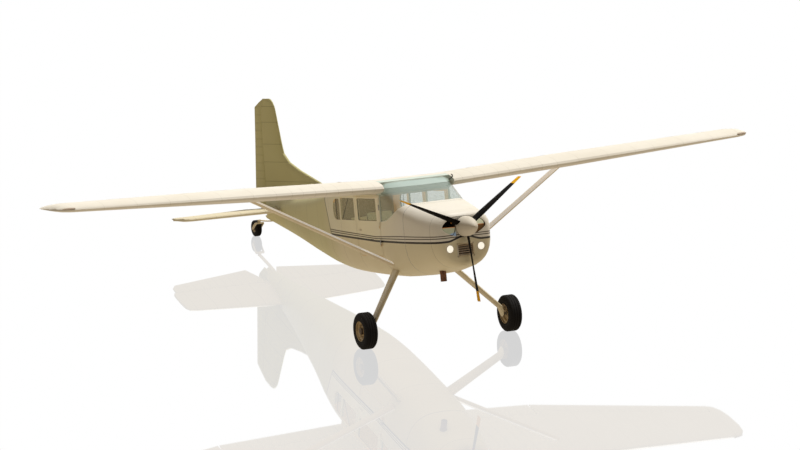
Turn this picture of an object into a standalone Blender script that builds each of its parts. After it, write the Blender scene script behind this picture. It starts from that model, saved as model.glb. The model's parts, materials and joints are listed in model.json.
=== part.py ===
"""Four to six seat high-wing light aircraft with a tail wheel, parked on its gear.

All pieces are modelled in the aircraft's own level frame: X to port, Y aft, Z up,
with the origin at the propeller hub. One empty then pitches the whole aircraft
nose up on its gear, with the middle of its outline over the world origin.
"""
import math

import bmesh
import bpy
from mathutils import Matrix, Vector

# Stance on the gear
PARK_PITCH = math.radians(12.0)
HUB_HEIGHT = 1.897
HUB_TO_CENTRE = 3.723

# Gaps between pieces
SEAT_GAP = 0.0003
RUNNING_GAP = 0.006

# Reach of a cutting tool past the outermost skin
PAST = 0.8

# Fuselage
NOSE_Y = 0.10
BOWL_REAR = 0.26
COWL_REAR = 0.948
FIREWALL_REAR = 0.956
CABIN_REAR = 3.64
TAIL_POST_Y = 7.20
TAIL_SHELF_REAR = 7.29
TAIL_SHELF_TOP = 0.055
COWL_WALL = 0.012
CABIN_WALL = 0.030
ROOF_DECK = 0.485
KEEL_POINTS = 17
SHOULDER_POINTS = 6
STATION_PITCH = 0.36
# y, half width, bottom, waist, top, shoulder width, shoulder height, squareness of the keel
HULL = (
    (0.10, 0.360, -0.500, -0.10, 0.150, 0.22, 0.20, 2.4),
    (0.12, 0.395, -0.540, -0.10, 0.180, 0.23, 0.22, 2.5),
    (0.17, 0.432, -0.575, -0.10, 0.212, 0.25, 0.24, 2.5),
    (0.30, 0.470, -0.605, -0.10, 0.232, 0.26, 0.25, 2.6),
    (0.60, 0.520, -0.655, -0.10, 0.275, 0.24, 0.24, 2.7),
    (0.95, 0.550, -0.698, -0.10, 0.330, 0.20, 0.20, 2.8),
    (1.40, 0.560, -0.728, -0.08, 0.400, 0.10, 0.10, 3.0),
    (1.70, 0.563, -0.740, -0.06, ROOF_DECK, 0.03, 0.03, 3.0),
    (2.30, 0.563, -0.735, -0.05, ROOF_DECK, 0.03, 0.03, 3.0),
    (3.13, 0.560, -0.700, -0.05, ROOF_DECK, 0.03, 0.03, 3.0),
    (3.64, 0.535, -0.655, -0.04, 0.478, 0.07, 0.09, 2.9),
    (4.60, 0.410, -0.512, 0.00, 0.445, 0.18, 0.22, 2.6),
    (5.60, 0.275, -0.315, 0.06, 0.390, 0.18, 0.26, 2.4),
    (6.40, 0.165, -0.165, 0.10, 0.345, 0.12, 0.20, 2.2),
    (7.00, 0.082, -0.055, 0.13, 0.305, 0.06, 0.14, 2.1),
    (7.20, 0.058, -0.018, 0.14, 0.295, 0.05, 0.12, 2.0),
    (7.29, 0.050, 0.000, 0.14, 0.290, 0.04, 0.12, 2.0),
)

# Nose openings
BOWL_WALL = 0.035
INLET_POINTS = 9
INLET_INNER = 0.115
INLET_OUTER = 0.338
INLET_LOW = -0.130
INLET_MIDDLE = -0.010
INLET_HIGH = 0.120
INLET_LOW_SQUARE = 1.4
LAMP_X = 0.241
LAMP_Z = -0.303
LAMP_RADIUS = 0.060
LAMP_PROUD = 0.005
GRILLE_HALF = 0.135
GRILLE_LOW = -0.430
GRILLE_HIGH = -0.234
GRILLE_SLATS = 6
GRILLE_RIM = 0.012
GRILLE_SLAT = 0.010
GRILLE_GAP = 0.002
GRILLE_PROUD = 0.004
GRILLE_DEEP = 0.040
LAMP_DEEP = 0.050

# Engine, propeller and spinner
ENGINE_FRONT = 0.36
ENGINE_HALF = 0.36
ENGINE_LOW = -0.22
ENGINE_HIGH = 0.14
CRANK_RADIUS = 0.048
BLADE_ANGLES = (34.64, 154.64, 274.64)
HUB_RADIUS = 0.075
HUB_HALF = 0.055
SPINNER_TIP = -0.278
SPINNER_REAR = 0.055
SPINNER_RADIUS = 0.155
SPINNER_WALL = 0.006
BACK_PLATE = 0.010
BLADE_CLEAR = 0.003
# radius, chord, thickness, pitch in degrees, with the blades stopped edge on to the airflow
BLADE = (
    (0.050, 0.060, 0.056, 60.0),
    (0.135, 0.100, 0.044, 60.0),
    (0.165, 0.108, 0.038, 60.0),
    (0.300, 0.124, 0.026, 65.0),
    (0.560, 0.126, 0.015, 74.0),
    (0.850, 0.120, 0.010, 82.0),
    (1.062, 0.114, 0.007, 88.0),
    (1.080, 0.106, 0.005, 88.0),
)
EXHAUST_X = -0.18
EXHAUST_Y = 0.55
EXHAUST_RADIUS = 0.045
EXHAUST_WALL = 0.007
EXHAUST_BORE_DEPTH = 0.15
EXHAUST_LOW = -0.775

# Windscreen: its foot on the body as y and z, from the middle of the deck round to the door post
WINDSCREEN_FOOT = ((1.05, 0.338), (1.15, 0.270), (1.30, 0.190), (1.50, 0.115), (1.7197, 0.090))
ROOF_FRONT = 1.66
POST_FRONT = 1.72
GLASS = 0.006
GLASS_INSET = 0.006
WINDSCREEN_ROWS = 8
WINDSCREEN_BULGE = 0.035
WINDSCREEN_HEAD_Z = 0.484

# Doors, hinged at their front edge
DOOR_FRONT = 1.757
DOOR_REAR = 2.583
DOOR_LOW = -0.406
DOOR_HIGH = 0.452
DOOR_HINGE_X = 0.575
KNUCKLE_RADIUS = 0.008
KNUCKLE_LOWS = (-0.26, 0.0)
KNUCKLE_HEIGHT = 0.040
SILL = 0.105
# name, front y, rear y, top z, radius of the rear corners
WINDOWS = (
    ("door", 1.850, 2.520, 0.425, 0.02),
    ("middle", 2.635, 3.130, 0.425, 0.02),
    ("rear", 3.185, 3.440, 0.410, 0.12),
)

# Cabin furniture
FLOOR_TOP = -0.50
FLOOR_THICK = 0.02
PANEL_Y = 1.33
PANEL_TOP = 0.150
PANEL_LOW = -0.14
# name, half width, middle x, front y, rear y of the cushion, back top z, cushion top z
SEATS = (
    ("seat_front_left", 0.215, 0.245, 1.93, 2.36, 0.22, -0.20),
    ("seat_front_right", 0.215, -0.245, 1.93, 2.36, 0.22, -0.20),
    ("seat_middle", 0.46, 0.0, 2.60, 2.98, 0.14, -0.22),
    ("seat_rear", 0.44, 0.0, 3.18, 3.46, 0.08, -0.24),
)

# Wing
ROOT_X = 0.5533
LEAD_RISE = 0.0405
LEAD_HEIGHT = 0.55
ROOT_THICKNESS = 0.120
CAMBER = 0.02
CAMBER_AT = 0.4
WING_POINTS = 14
# x, leading edge y, trailing edge y, incidence in degrees, thickness ratio
WING = (
    (0.5533, 1.500, 3.130, 1.5, ROOT_THICKNESS),
    (2.500, 1.505, 3.130, 0.9, 0.120),
    (5.250, 1.600, 2.675, -1.5, 0.110),
    (5.360, 1.640, 2.620, -1.5, 0.100),
    (5.430, 1.750, 2.480, -1.5, 0.080),
    (5.460, 1.930, 2.280, -1.5, 0.060),
)
FLAP_INNER = 0.69
FLAP_OUTER = 2.494
AILERON_INNER = 2.506
AILERON_OUTER = 5.240
FLAP_CUT = 2.80
AILERON_CUT_INNER = 2.900
AILERON_CUT_OUTER = 2.450
HINGE_RIB_REAR = 2.965
STRUT_FOOT = (0.50, 1.585, -0.520)
STRUT_HEAD = (2.50, 1.965, 0.630)
STRUT_CHORD = 0.110
STRUT_THICK = 0.042
STRUT_POINTS = 14

# Tail
STABILISER_Z = 0.16
STABILISER_REAR_HALF = 0.021
# x, leading edge y, rear y, half thickness
STABILISER = (
    (0.010, 6.310, 7.080, 0.045),
    (1.500, 6.475, 7.072, 0.034),
    (1.600, 6.500, 7.071, 0.030),
    (1.640, 6.560, 7.065, 0.024),
    (1.655, 6.700, 6.950, 0.014),
)
# x, trailing edge y
ELEVATOR = ((0.078, 7.155), (0.260, 7.575), (1.520, 7.345), (1.590, 7.250))
ELEVATOR_NOSE = 0.021
TRAILING_EDGE_HALF = 0.0035
RUDDER_AXIS_FOOT = (7.262, 0.0)
RUDDER_AXIS_SLOPE = -0.0485
# z, leading edge y, half thickness; the rear face follows the rudder
FIN = (
    (0.300, 4.250, 0.046),
    (0.450, 4.700, 0.045),
    (0.568, 5.080, 0.044),
    (0.747, 5.820, 0.043),
    (0.869, 6.220, 0.042),
    (1.006, 6.430, 0.040),
    (1.130, 6.480, 0.038),
    (1.655, 6.620, 0.028),
    (1.711, 6.640, 0.026),
    (1.780, 6.692, 0.021),
    (1.822, 6.750, 0.015),
    (1.838, 6.810, 0.009),
)
# z, trailing edge y, nose radius, forward reach of the balance horn
RUDDER = (
    (0.075, 7.440, 0.026, 0.0),
    (0.250, 7.600, 0.026, 0.0),
    (0.467, 7.655, 0.025, 0.0),
    (1.206, 7.510, 0.019, 0.0),
    (1.655, 7.427, 0.016, 0.0),
    (1.711, 7.416, 0.014, 0.024),
    (1.780, 7.240, 0.011, 0.118),
    (1.838, 7.062, 0.006, 0.190),
)

# Landing gear
MAIN_WHEEL = (1.134, 0.973, 0.264)
MAIN_RADIUS = 0.264
MAIN_WIDTH = 0.200
RIM_RADIUS = 0.155
RIM_WIDTH = 0.140
BEAD_SHARE = 0.9
HUB_CAP_RADIUS = 0.040
AXLE_RADIUS = 0.020
AXLE_FLANGE = 0.010
FLANGE_RADIUS = 0.045
AXLE_REACH = 0.074
LEG_END_X = 1.012
# direction of the leg's thickness, outwards and up
LEG_LEAN = (0.76, 0.65)
# x, y, z, fore and aft width, thickness: straight down to the axle's height
LEG = (
    (0.400, 1.655, -0.590, 0.220, 0.044),
    (1.000, 1.302, -1.295, 0.150, 0.036),
    (1.030, 1.289, -1.440, 0.120, 0.034),
)
TAIL_WHEEL = (0.0, 7.597, 0.125)
TAIL_RADIUS = 0.125
TAIL_WIDTH = 0.100
TAIL_RIM_RADIUS = 0.065
TAIL_RIM_WIDTH = 0.080
TAIL_AXLE_RADIUS = 0.008
SWIVEL_Y = 7.66
SWIVEL_TOP = -0.045
SWIVEL_RADIUS = 0.022
FORK_ARM_IN = 0.057
FORK_ARM_OUT = 0.068
FORK_CROWN = 0.022
SPRING_HALF = 0.025
SPRING_THICK = 0.016
# y, z of the tail spring's middle line
TAIL_SPRING = ((6.90, 0.020), (7.10, -0.032), (7.30, -0.036), (7.60, -0.033))

SEGMENTS = 32

COLOURS = {
    "cream paint": ((0.72, 0.68, 0.58, 1.0), 0.35, 0.0),
    "khaki paint": ((0.42, 0.38, 0.26, 1.0), 0.40, 0.0),
    "clear glass": ((0.60, 0.72, 0.68, 1.0), 0.05, 0.0),
    "black rubber": ((0.02, 0.02, 0.02, 1.0), 0.80, 0.0),
    "black blade": ((0.02, 0.02, 0.02, 1.0), 0.45, 0.0),
    "wheel metal": ((0.45, 0.38, 0.28, 1.0), 0.50, 0.6),
    "steel": ((0.45, 0.45, 0.45, 1.0), 0.40, 0.9),
    "rusty steel": ((0.20, 0.06, 0.03, 1.0), 0.70, 0.5),
    "dark metal": ((0.10, 0.09, 0.08, 1.0), 0.55, 0.7),
    "seat fabric": ((0.40, 0.36, 0.28, 1.0), 0.85, 0.0),
    "cabin lining": ((0.45, 0.33, 0.20, 1.0), 0.80, 0.0),
    "lamp glass": ((0.95, 0.93, 0.85, 1.0), 0.10, 0.0),
}


def clear_scene():
    for item in list(bpy.data.objects):
        bpy.data.objects.remove(item, do_unlink=True)


def paint(name):
    """The named colour as a Principled BSDF material."""
    found = bpy.data.materials.get(name)
    if found:
        return found
    colour, roughness, metallic = COLOURS[name]
    made = bpy.data.materials.new(name)
    made.use_nodes = True
    shader = made.node_tree.nodes["Principled BSDF"]
    shader.inputs["Base Color"].default_value = colour
    shader.inputs["Roughness"].default_value = roughness
    shader.inputs["Metallic"].default_value = metallic
    return made


def as_object(name, bm):
    """A bmesh as a scene object, faces outwards."""
    bmesh.ops.recalc_face_normals(bm, faces=bm.faces)
    mesh = bpy.data.meshes.new(name)
    bm.to_mesh(mesh)
    bm.free()
    made = bpy.data.objects.new(name, mesh)
    bpy.context.collection.objects.link(made)
    return made


def combine(target, tool, operation):
    """Cut, join or intersect the target with a tool that is used up."""
    step = target.modifiers.new("combine", "BOOLEAN")
    step.operation = operation
    step.solver = "EXACT"
    step.object = tool
    bpy.context.view_layer.update()
    graph = bpy.context.evaluated_depsgraph_get()
    result = bpy.data.meshes.new_from_object(target.evaluated_get(graph))
    target.modifiers.remove(step)
    old = target.data
    target.data = result
    bpy.data.meshes.remove(old)
    bpy.data.objects.remove(tool, do_unlink=True)
    return target


def cut(target, tool):
    return combine(target, tool, "DIFFERENCE")


def join(target, tool):
    return combine(target, tool, "UNION")


def common(target, tool):
    return combine(target, tool, "INTERSECT")


def loft(name, rings):
    """A closed solid through rings of equal point count."""
    bm = bmesh.new()
    loops = [[bm.verts.new(point) for point in ring] for ring in rings]
    for near, far in zip(loops, loops[1:]):
        for i in range(len(near)):
            bm.faces.new((near[i - 1], near[i], far[i], far[i - 1]))
    bm.faces.new(loops[0])
    bm.faces.new(loops[-1])
    bmesh.ops.triangulate(bm, faces=[face for face in bm.faces if len(face.verts) == 4])
    return as_object(name, bm)


def sheet_solid(name, grid, thickness, inside):
    """Rows of points as a closed sheet whose inner side lies towards the point inside.

    The first row keeps its height, the last row and the outer columns their place along Y.
    """
    top = len(grid) - 1
    end = len(grid[0]) - 1
    bm = bmesh.new()
    outer = [[bm.verts.new(point) for point in row] for row in grid]
    inner = []
    for j, row in enumerate(grid):
        line = []
        for i, point in enumerate(row):
            along = row[min(i + 1, end)] - row[max(i - 1, 0)]
            up = grid[min(j + 1, top)][i] - grid[max(j - 1, 0)][i]
            normal = along.cross(up)
            if normal.dot(inside - point) < 0:
                normal.negate()
            if j == 0:
                normal.z = 0.0
            if j == top or i in (0, end):
                normal.y = 0.0
            line.append(bm.verts.new(point + normal.normalized() * thickness))
        inner.append(line)
    for face in (outer, inner):
        for low, high in zip(face, face[1:]):
            for i in range(end):
                bm.faces.new((low[i], low[i + 1], high[i + 1], high[i]))
    for j in (0, top):
        for i in range(end):
            bm.faces.new((outer[j][i], outer[j][i + 1], inner[j][i + 1], inner[j][i]))
    for i in (0, end):
        for j in range(top):
            bm.faces.new((outer[j][i], outer[j + 1][i], inner[j + 1][i], inner[j][i]))
    bmesh.ops.triangulate(bm, faces=bm.faces)
    return as_object(name, bm)


def box(name, low, high):
    bm = bmesh.new()
    size = [b - a for a, b in zip(low, high)]
    middle = [(a + b) / 2 for a, b in zip(low, high)]
    bmesh.ops.create_cube(bm, size=1.0)
    bmesh.ops.scale(bm, vec=size, verts=bm.verts)
    bmesh.ops.translate(bm, vec=middle, verts=bm.verts)
    return as_object(name, bm)


def prism(name, outline, low, high, axis):
    """An outline of two coordinates extruded along the given axis."""
    bm = bmesh.new()
    for level in (low, high):
        ring = []
        for a, b in outline:
            point = [a, b]
            point.insert(axis, level)
            ring.append(bm.verts.new(point))
        bm.faces.new(ring)
    bm.verts.ensure_lookup_table()
    count = len(outline)
    for i in range(count):
        following = (i + 1) % count
        side = (bm.verts[i], bm.verts[following], bm.verts[count + following], bm.verts[count + i])
        bm.faces.new(side)
    return as_object(name, bm)


def turned(name, profile, centre, direction, steps=SEGMENTS):
    """A profile of radius and distance turned about a line through centre."""
    bm = bmesh.new()
    points = [bm.verts.new((radius, 0.0, along)) for radius, along in profile]
    edges = [bm.edges.new(pair) for pair in zip(points, points[1:])]
    if profile[0][0] > 0 and profile[-1][0] > 0:
        edges.append(bm.edges.new((points[-1], points[0])))
    bmesh.ops.spin(bm, geom=points + edges, cent=(0, 0, 0), axis=(0, 0, 1),
                   angle=math.tau, steps=steps, use_merge=True)
    bmesh.ops.remove_doubles(bm, verts=bm.verts, dist=0.00001)
    turn = Vector(direction).normalized().to_track_quat("Z", "Y").to_matrix().to_4x4()
    bmesh.ops.transform(bm, matrix=Matrix.Translation(centre) @ turn, verts=bm.verts)
    return as_object(name, bm)


def rod(name, start, end, radius, steps=SEGMENTS):
    start = Vector(start)
    span = Vector(end) - start
    profile = ((0, 0), (radius, 0), (radius, span.length), (0, span.length))
    return turned(name, profile, start, span, steps)


def pointed_pin(name, start, end, radius):
    """A pin from inside its surface to a point that rests on the neighbour."""
    start = Vector(start)
    span = Vector(end) - start
    cone = span.length - radius
    profile = ((0, 0), (radius, 0), (radius, cone), (0, span.length))
    return turned(name, profile, start, span, 16)


def mirrored(point, side):
    return (point[0] * side, point[1], point[2])


def between(table, key):
    """The row of a table at a value of its first column."""
    for low, high in zip(table, table[1:]):
        if key <= high[0]:
            part = (key - low[0]) / (high[0] - low[0])
            return [a + (b - a) * part for a, b in zip(low, high)]
    return list(table[-1])


def hull_row(y):
    """The hull's sizes at a station, by a smooth curve through the table that never overshoots."""
    index = 0
    while index < len(HULL) - 2 and y > HULL[index + 1][0]:
        index += 1
    low, high = HULL[index], HULL[index + 1]
    span = high[0] - low[0]
    part = min(max((y - low[0]) / span, 0.0), 1.0)
    row = [y]
    for column in range(1, len(low)):
        ends = [slope_at(index, column), slope_at(index + 1, column)]
        start, end = low[column], high[column]
        row.append(start * (1 + 2 * part) * (1 - part) ** 2 + ends[0] * span * part * (1 - part) ** 2
                   + end * (3 - 2 * part) * part ** 2 - ends[1] * span * (1 - part) * part ** 2)
    return row


def slope_at(index, column):
    """Slope of one column of the hull at a row: the harmonic mean of the slopes beside it."""
    if index in (0, len(HULL) - 1):
        near, far = (HULL[0], HULL[1]) if index == 0 else (HULL[-2], HULL[-1])
        return (far[column] - near[column]) / (far[0] - near[0])
    before, here, after = HULL[index - 1:index + 2]
    slopes = [(b[column] - a[column]) / (b[0] - a[0]) for a, b in ((before, here), (here, after))]
    if slopes[0] * slopes[1] <= 0:
        return 0.0
    return 2 * slopes[0] * slopes[1] / (slopes[0] + slopes[1])


def meshed_hull():
    """The smooth hull read at closer stations; every skin runs straight between these."""
    rows = []
    for low, high in zip(HULL, HULL[1:]):
        steps = math.ceil((high[0] - low[0]) / STATION_PITCH)
        rows += [hull_row(low[0] + (high[0] - low[0]) * i / steps) for i in range(steps)]
    rows.append(list(HULL[-1]))
    return rows


STATION_ROWS = meshed_hull()


def hull_ring(y, half, bottom, waist, top, shoulder_width, shoulder_height, square, grow=0.0):
    """One section of the fuselage: a rounded keel, upright sides and rounded shoulders."""
    half += grow
    bottom -= grow
    top += grow
    shoulder_width = max(shoulder_width + grow, 0.008)
    shoulder_height = max(shoulder_height + grow, 0.008)
    ring = []
    for i in range(KEEL_POINTS):
        angle = math.pi * i / (KEEL_POINTS - 1)
        across = math.cos(angle)
        down = abs(math.sin(angle))
        x = math.copysign(half * abs(across) ** (2 / square), across)
        ring.append((x, y, waist - (waist - bottom) * down ** (2 / square)))
    for side in (-1, 1):
        arc = []
        for j in range(SHOULDER_POINTS):
            angle = 0.5 * math.pi * j / (SHOULDER_POINTS - 1)
            x = half - shoulder_width * (1 - math.cos(angle))
            arc.append((side * x, y, top - shoulder_height * (1 - math.sin(angle))))
        ring.extend(arc if side < 0 else reversed(arc))
    return ring


def hull_block(name, front, rear, grow=0.0):
    """A length of the fuselage as one solid, its skin moved out by grow."""
    stations = [front]
    stations += [row[0] for row in STATION_ROWS if front + 0.004 < row[0] < rear - 0.004]
    stations.append(rear)
    return loft(name, [hull_ring(*between(STATION_ROWS, y), grow) for y in stations])


def hull_side(y, z):
    """Half the fuselage's width at a height."""
    _, half, bottom, waist, top, shoulder_width, shoulder_height, square = between(STATION_ROWS, y)
    if z < waist:
        return half * (1 - ((waist - z) / (waist - bottom)) ** square) ** (1 / square)
    above = z - (top - shoulder_height)
    if above <= 0:
        return half
    rise = min(above / shoulder_height, 1.0)
    return half - shoulder_width * (1 - math.sqrt(1 - rise ** 2))


def aerofoil(part, thickness):
    """Height of the upper and lower surface at a part of the chord, over the chord."""
    swell = (0.2969 * math.sqrt(part) - 0.1260 * part - 0.3516 * part ** 2
             + 0.2843 * part ** 3 - 0.1015 * part ** 4)
    half = 5 * thickness * swell
    if part < CAMBER_AT:
        middle = CAMBER / CAMBER_AT ** 2 * (2 * CAMBER_AT * part - part ** 2)
    else:
        middle = (CAMBER / (1 - CAMBER_AT) ** 2
                  * (1 - 2 * CAMBER_AT + 2 * CAMBER_AT * part - part ** 2))
    return middle + half, middle - half


def wing_point(x, part, height, side):
    """A point of the wing at a part of the chord and a height over the chord."""
    _, lead, trail, incidence, _ = between(WING, x)
    chord = trail - lead
    tilt = math.radians(incidence)
    along = part * chord
    up = height * chord
    y = lead + along * math.cos(tilt) + up * math.sin(tilt)
    z = LEAD_HEIGHT + LEAD_RISE * x - along * math.sin(tilt) + up * math.cos(tilt)
    return (side * x, y, z)


def wing_ring(x, side):
    thickness = between(WING, x)[4]
    upper = []
    lower = []
    for i in range(WING_POINTS + 1):
        part = 0.5 * (1 - math.cos(math.pi * i / WING_POINTS))
        high, low = aerofoil(part, thickness)
        upper.append(wing_point(x, part, high, side))
        if i:
            lower.append(wing_point(x, part, low, side))
    return list(reversed(upper)) + lower


def wing_form(name, side, drop=0.0):
    stations = [row[0] for row in WING]
    rings = [[(x, y, z - drop) for x, y, z in wing_ring(x, side)] for x in stations]
    return loft(name, rings)


def surface_nose(x, front_y):
    """Middle of a control surface's round nose, as a part of the chord, and its radius."""
    _, lead, trail, _, thickness = between(WING, x)
    chord = trail - lead
    radius = 0.03
    for _ in range(4):
        part = (front_y + RUNNING_GAP + radius - lead) / chord
        high, low = aerofoil(part, thickness)
        radius = (high - low) / 2 * chord
    return part, (high + low) / 2, radius


def surface_ring(x, front_y, side):
    """Section of a flap or aileron: round nose about the hinge, then the wing's own outline."""
    _, lead, trail, _, thickness = between(WING, x)
    part, middle, radius = surface_nose(x, front_y)
    chord = trail - lead
    ring = []
    for i in range(7):
        angle = math.radians(90 + 30 * i)
        forward = part + radius / chord * math.cos(angle)
        ring.append(wing_point(x, forward, middle + radius / chord * math.sin(angle), side))
    rear_parts = [part + (1 - part) * step for step in (0.35, 0.7, 1.0)]
    ring += [wing_point(x, p, aerofoil(p, thickness)[1], side) for p in rear_parts]
    ring += [wing_point(x, p, aerofoil(p, thickness)[0], side) for p in reversed(rear_parts)]
    return ring


def surface_axis(x, front_y, side):
    part, middle, _ = surface_nose(x, front_y)
    return Vector(wing_point(x, part, middle, side))


class Airframe:
    """The pitched empty that carries every piece."""

    def __init__(self):
        self.datum = bpy.data.objects.new("airframe_datum", None)
        bpy.context.collection.objects.link(self.datum)
        self.datum.location = (0.0, -HUB_TO_CENTRE, HUB_HEIGHT)
        self.datum.rotation_euler = (-PARK_PITCH, 0.0, 0.0)

    def add(self, piece, colour, origin=(0.0, 0.0, 0.0)):
        """Give a finished piece its colour, its origin and its place on the datum."""
        piece.data.transform(Matrix.Translation(-Vector(origin)))
        piece.location = origin
        piece.parent = self.datum
        piece.data.materials.clear()
        piece.data.materials.append(paint(colour))
        piece.data.shade_smooth()
        piece.data.set_sharp_from_angle(angle=math.radians(35))
        return piece


def level_point(point):
    """A point given on the ground below the hub, in the level frame."""
    x, y, z = point
    z -= HUB_HEIGHT
    back = Matrix.Rotation(PARK_PITCH, 3, "X")
    return tuple(back @ Vector((x, y, z)))


def inlet_outline():
    """Cooling inlet: upright behind the spinner, tapering outwards along two arcs."""
    width = INLET_OUTER - INLET_INNER
    outline = []
    for i in range(INLET_POINTS):
        angle = 0.5 * math.pi * i / (INLET_POINTS - 1)
        outline.append((INLET_INNER + width * math.sin(angle),
                        INLET_MIDDLE + (INLET_HIGH - INLET_MIDDLE) * math.cos(angle)))
    for i in range(1, INLET_POINTS):
        angle = 0.5 * math.pi * i / (INLET_POINTS - 1)
        drop = math.sin(angle) ** (2 / INLET_LOW_SQUARE)
        outline.append((INLET_INNER + width * math.cos(angle) ** (2 / INLET_LOW_SQUARE),
                        INLET_MIDDLE - (INLET_MIDDLE - INLET_LOW) * drop))
    return outline


def make_nose(airframe):
    """Nose bowl with its inlets, the lamps and the grille, then the cowl behind it."""
    bowl = hull_block("nose_bowl", NOSE_Y, BOWL_REAR)
    cut(bowl, hull_block("hollow", NOSE_Y + BOWL_WALL, BOWL_REAR + 0.02, -BOWL_WALL))
    ahead = NOSE_Y - 0.05
    for side in (-1, 1):
        outline = [(side * across, up) for across, up in inlet_outline()]
        cut(bowl, prism("inlet", outline, ahead, BOWL_REAR, 1))
        hole_start = (side * LAMP_X, ahead, LAMP_Z)
        hole_end = (side * LAMP_X, BOWL_REAR, LAMP_Z)
        cut(bowl, rod("lamp_hole", hole_start, hole_end, LAMP_RADIUS + 2 * SEAT_GAP))
    low = (-GRILLE_HALF, ahead, GRILLE_LOW)
    cut(bowl, box("grille_hole", low, (GRILLE_HALF, BOWL_REAR, GRILLE_HIGH)))
    cut(bowl, rod("crank_hole", (0, ahead, 0), (0, BOWL_REAR, 0), CRANK_RADIUS + 0.020))
    airframe.add(bowl, "khaki paint")

    for name, side in (("landing_light_left", 1), ("landing_light_right", -1)):
        face = (side * LAMP_X, NOSE_Y - LAMP_PROUD, LAMP_Z)
        lamp = rod(name, face, (side * LAMP_X, NOSE_Y + LAMP_DEEP, LAMP_Z), LAMP_RADIUS)
        airframe.add(lamp, "lamp glass")

    grille = box("air_grille", (-GRILLE_HALF + SEAT_GAP, NOSE_Y - GRILLE_PROUD, GRILLE_LOW + SEAT_GAP),
                 (GRILLE_HALF - SEAT_GAP, NOSE_Y + GRILLE_DEEP, GRILLE_HIGH - SEAT_GAP))
    pitch = (GRILLE_HIGH - GRILLE_LOW - 2 * GRILLE_RIM) / GRILLE_SLATS
    slot_half = GRILLE_HALF - GRILLE_RIM
    for i in range(GRILLE_SLATS):
        low = GRILLE_LOW + GRILLE_RIM + i * pitch
        high = low + pitch - GRILLE_GAP
        cut(grille, box("slot", (-slot_half, ahead, low + GRILLE_SLAT), (slot_half, NOSE_Y + 0.06, high)))
    airframe.add(grille, "dark metal")

    cowl = hull_block("cowl", BOWL_REAR + SEAT_GAP, COWL_REAR)
    cut(cowl, hull_block("hollow", BOWL_REAR - 0.05, COWL_REAR + 0.05, -COWL_WALL))
    hole_top = (EXHAUST_X, EXHAUST_Y, EXHAUST_LOW + 0.3)
    cut(cowl, rod("exhaust_hole", (EXHAUST_X, EXHAUST_Y, -PAST), hole_top, EXHAUST_RADIUS + 0.008))
    airframe.add(cowl, "cream paint")
    airframe.add(hull_block("firewall", COWL_REAR + SEAT_GAP, FIREWALL_REAR), "steel")


def make_engine(airframe):
    """Plain engine block with its crank nose, and the exhaust stub below it."""
    low = (-ENGINE_HALF, ENGINE_FRONT, ENGINE_LOW)
    engine = box("engine_block", low, (ENGINE_HALF, COWL_REAR, ENGINE_HIGH))
    join(engine, rod("crank", (0, SPINNER_REAR + SEAT_GAP, 0), (0, ENGINE_FRONT + 0.05, 0), CRANK_RADIUS))
    airframe.add(engine, "dark metal")

    top = ENGINE_LOW - SEAT_GAP
    bore = EXHAUST_RADIUS - EXHAUST_WALL
    length = top - EXHAUST_LOW
    profile = ((0, length), (EXHAUST_RADIUS, length), (EXHAUST_RADIUS, 0), (bore, 0),
               (bore, EXHAUST_BORE_DEPTH), (0, EXHAUST_BORE_DEPTH))
    pipe = turned("exhaust_pipe", profile, (EXHAUST_X, EXHAUST_Y, EXHAUST_LOW), (0, 0, 1), 24)
    airframe.add(pipe, "rusty steel")


def spinner_radius(y, wall=0.0):
    """Radius of the spinner's ogive at a distance along the shaft."""
    tip = SPINNER_TIP + wall * 2
    part = (SPINNER_REAR - y) / (SPINNER_REAR - tip)
    return (SPINNER_RADIUS - wall) * max(1 - part ** 1.9, 0.0) ** 0.62


def blade_ring(radius, chord, thick, pitch, angle):
    """Blade section square to its own radius; the chord turns with the pitch."""
    out = Vector((math.cos(angle), 0, math.sin(angle)))
    sweep = Vector((-math.sin(angle), 0, math.cos(angle)))
    shaft = Vector((0, 1, 0))
    turn = math.radians(pitch)
    wide = sweep * math.cos(turn) + shaft * math.sin(turn)
    deep = shaft * math.cos(turn) - sweep * math.sin(turn)
    ring = []
    for i in range(12):
        around = math.tau * i / 12
        section = wide * (chord / 2 * math.cos(around)) + deep * (thick / 2 * math.sin(around))
        ring.append(out * radius + section)
    return ring


def blade(name, angle, grow=0.0):
    rings = [blade_ring(radius, chord + 2 * grow, thick + 2 * grow, pitch, math.radians(angle))
             for radius, chord, thick, pitch in BLADE]
    return loft(name, rings)


def make_propeller(airframe):
    """Three blades on a hub with a back plate, and the hollow spinner over it."""
    plate_front = SPINNER_REAR - BACK_PLATE
    plate_radius = spinner_radius(plate_front) - SPINNER_WALL - SEAT_GAP * 3
    profile = ((0, -HUB_HALF), (HUB_RADIUS, -HUB_HALF), (HUB_RADIUS, plate_front),
               (plate_radius, plate_front), (plate_radius, SPINNER_REAR), (0, SPINNER_REAR))
    propeller = turned("propeller", profile, (0, 0, 0), (0, 1, 0))
    for angle in BLADE_ANGLES:
        join(propeller, blade("blade", angle))
    airframe.add(propeller, "black blade")

    steps = 10
    outer = []
    inner = []
    for i in range(steps + 1):
        y = SPINNER_REAR + (SPINNER_TIP - SPINNER_REAR) * math.sin(0.5 * math.pi * i / steps)
        outer.append((spinner_radius(y) if i < steps else 0.0, y))
    inner_tip = SPINNER_TIP + 2 * SPINNER_WALL
    for i in range(steps + 1):
        y = SPINNER_REAR + (inner_tip - SPINNER_REAR) * math.sin(0.5 * math.pi * (steps - i) / steps)
        inner.append((spinner_radius(y, SPINNER_WALL) if i else 0.0, y))
    outer = list(reversed(outer))
    spinner = turned("spinner", outer + list(reversed(inner)), (0, 0, 0), (0, 1, 0))
    for angle in BLADE_ANGLES:
        cut(spinner, blade("blade_slot", angle, BLADE_CLEAR))
    airframe.add(spinner, "cream paint")


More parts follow.
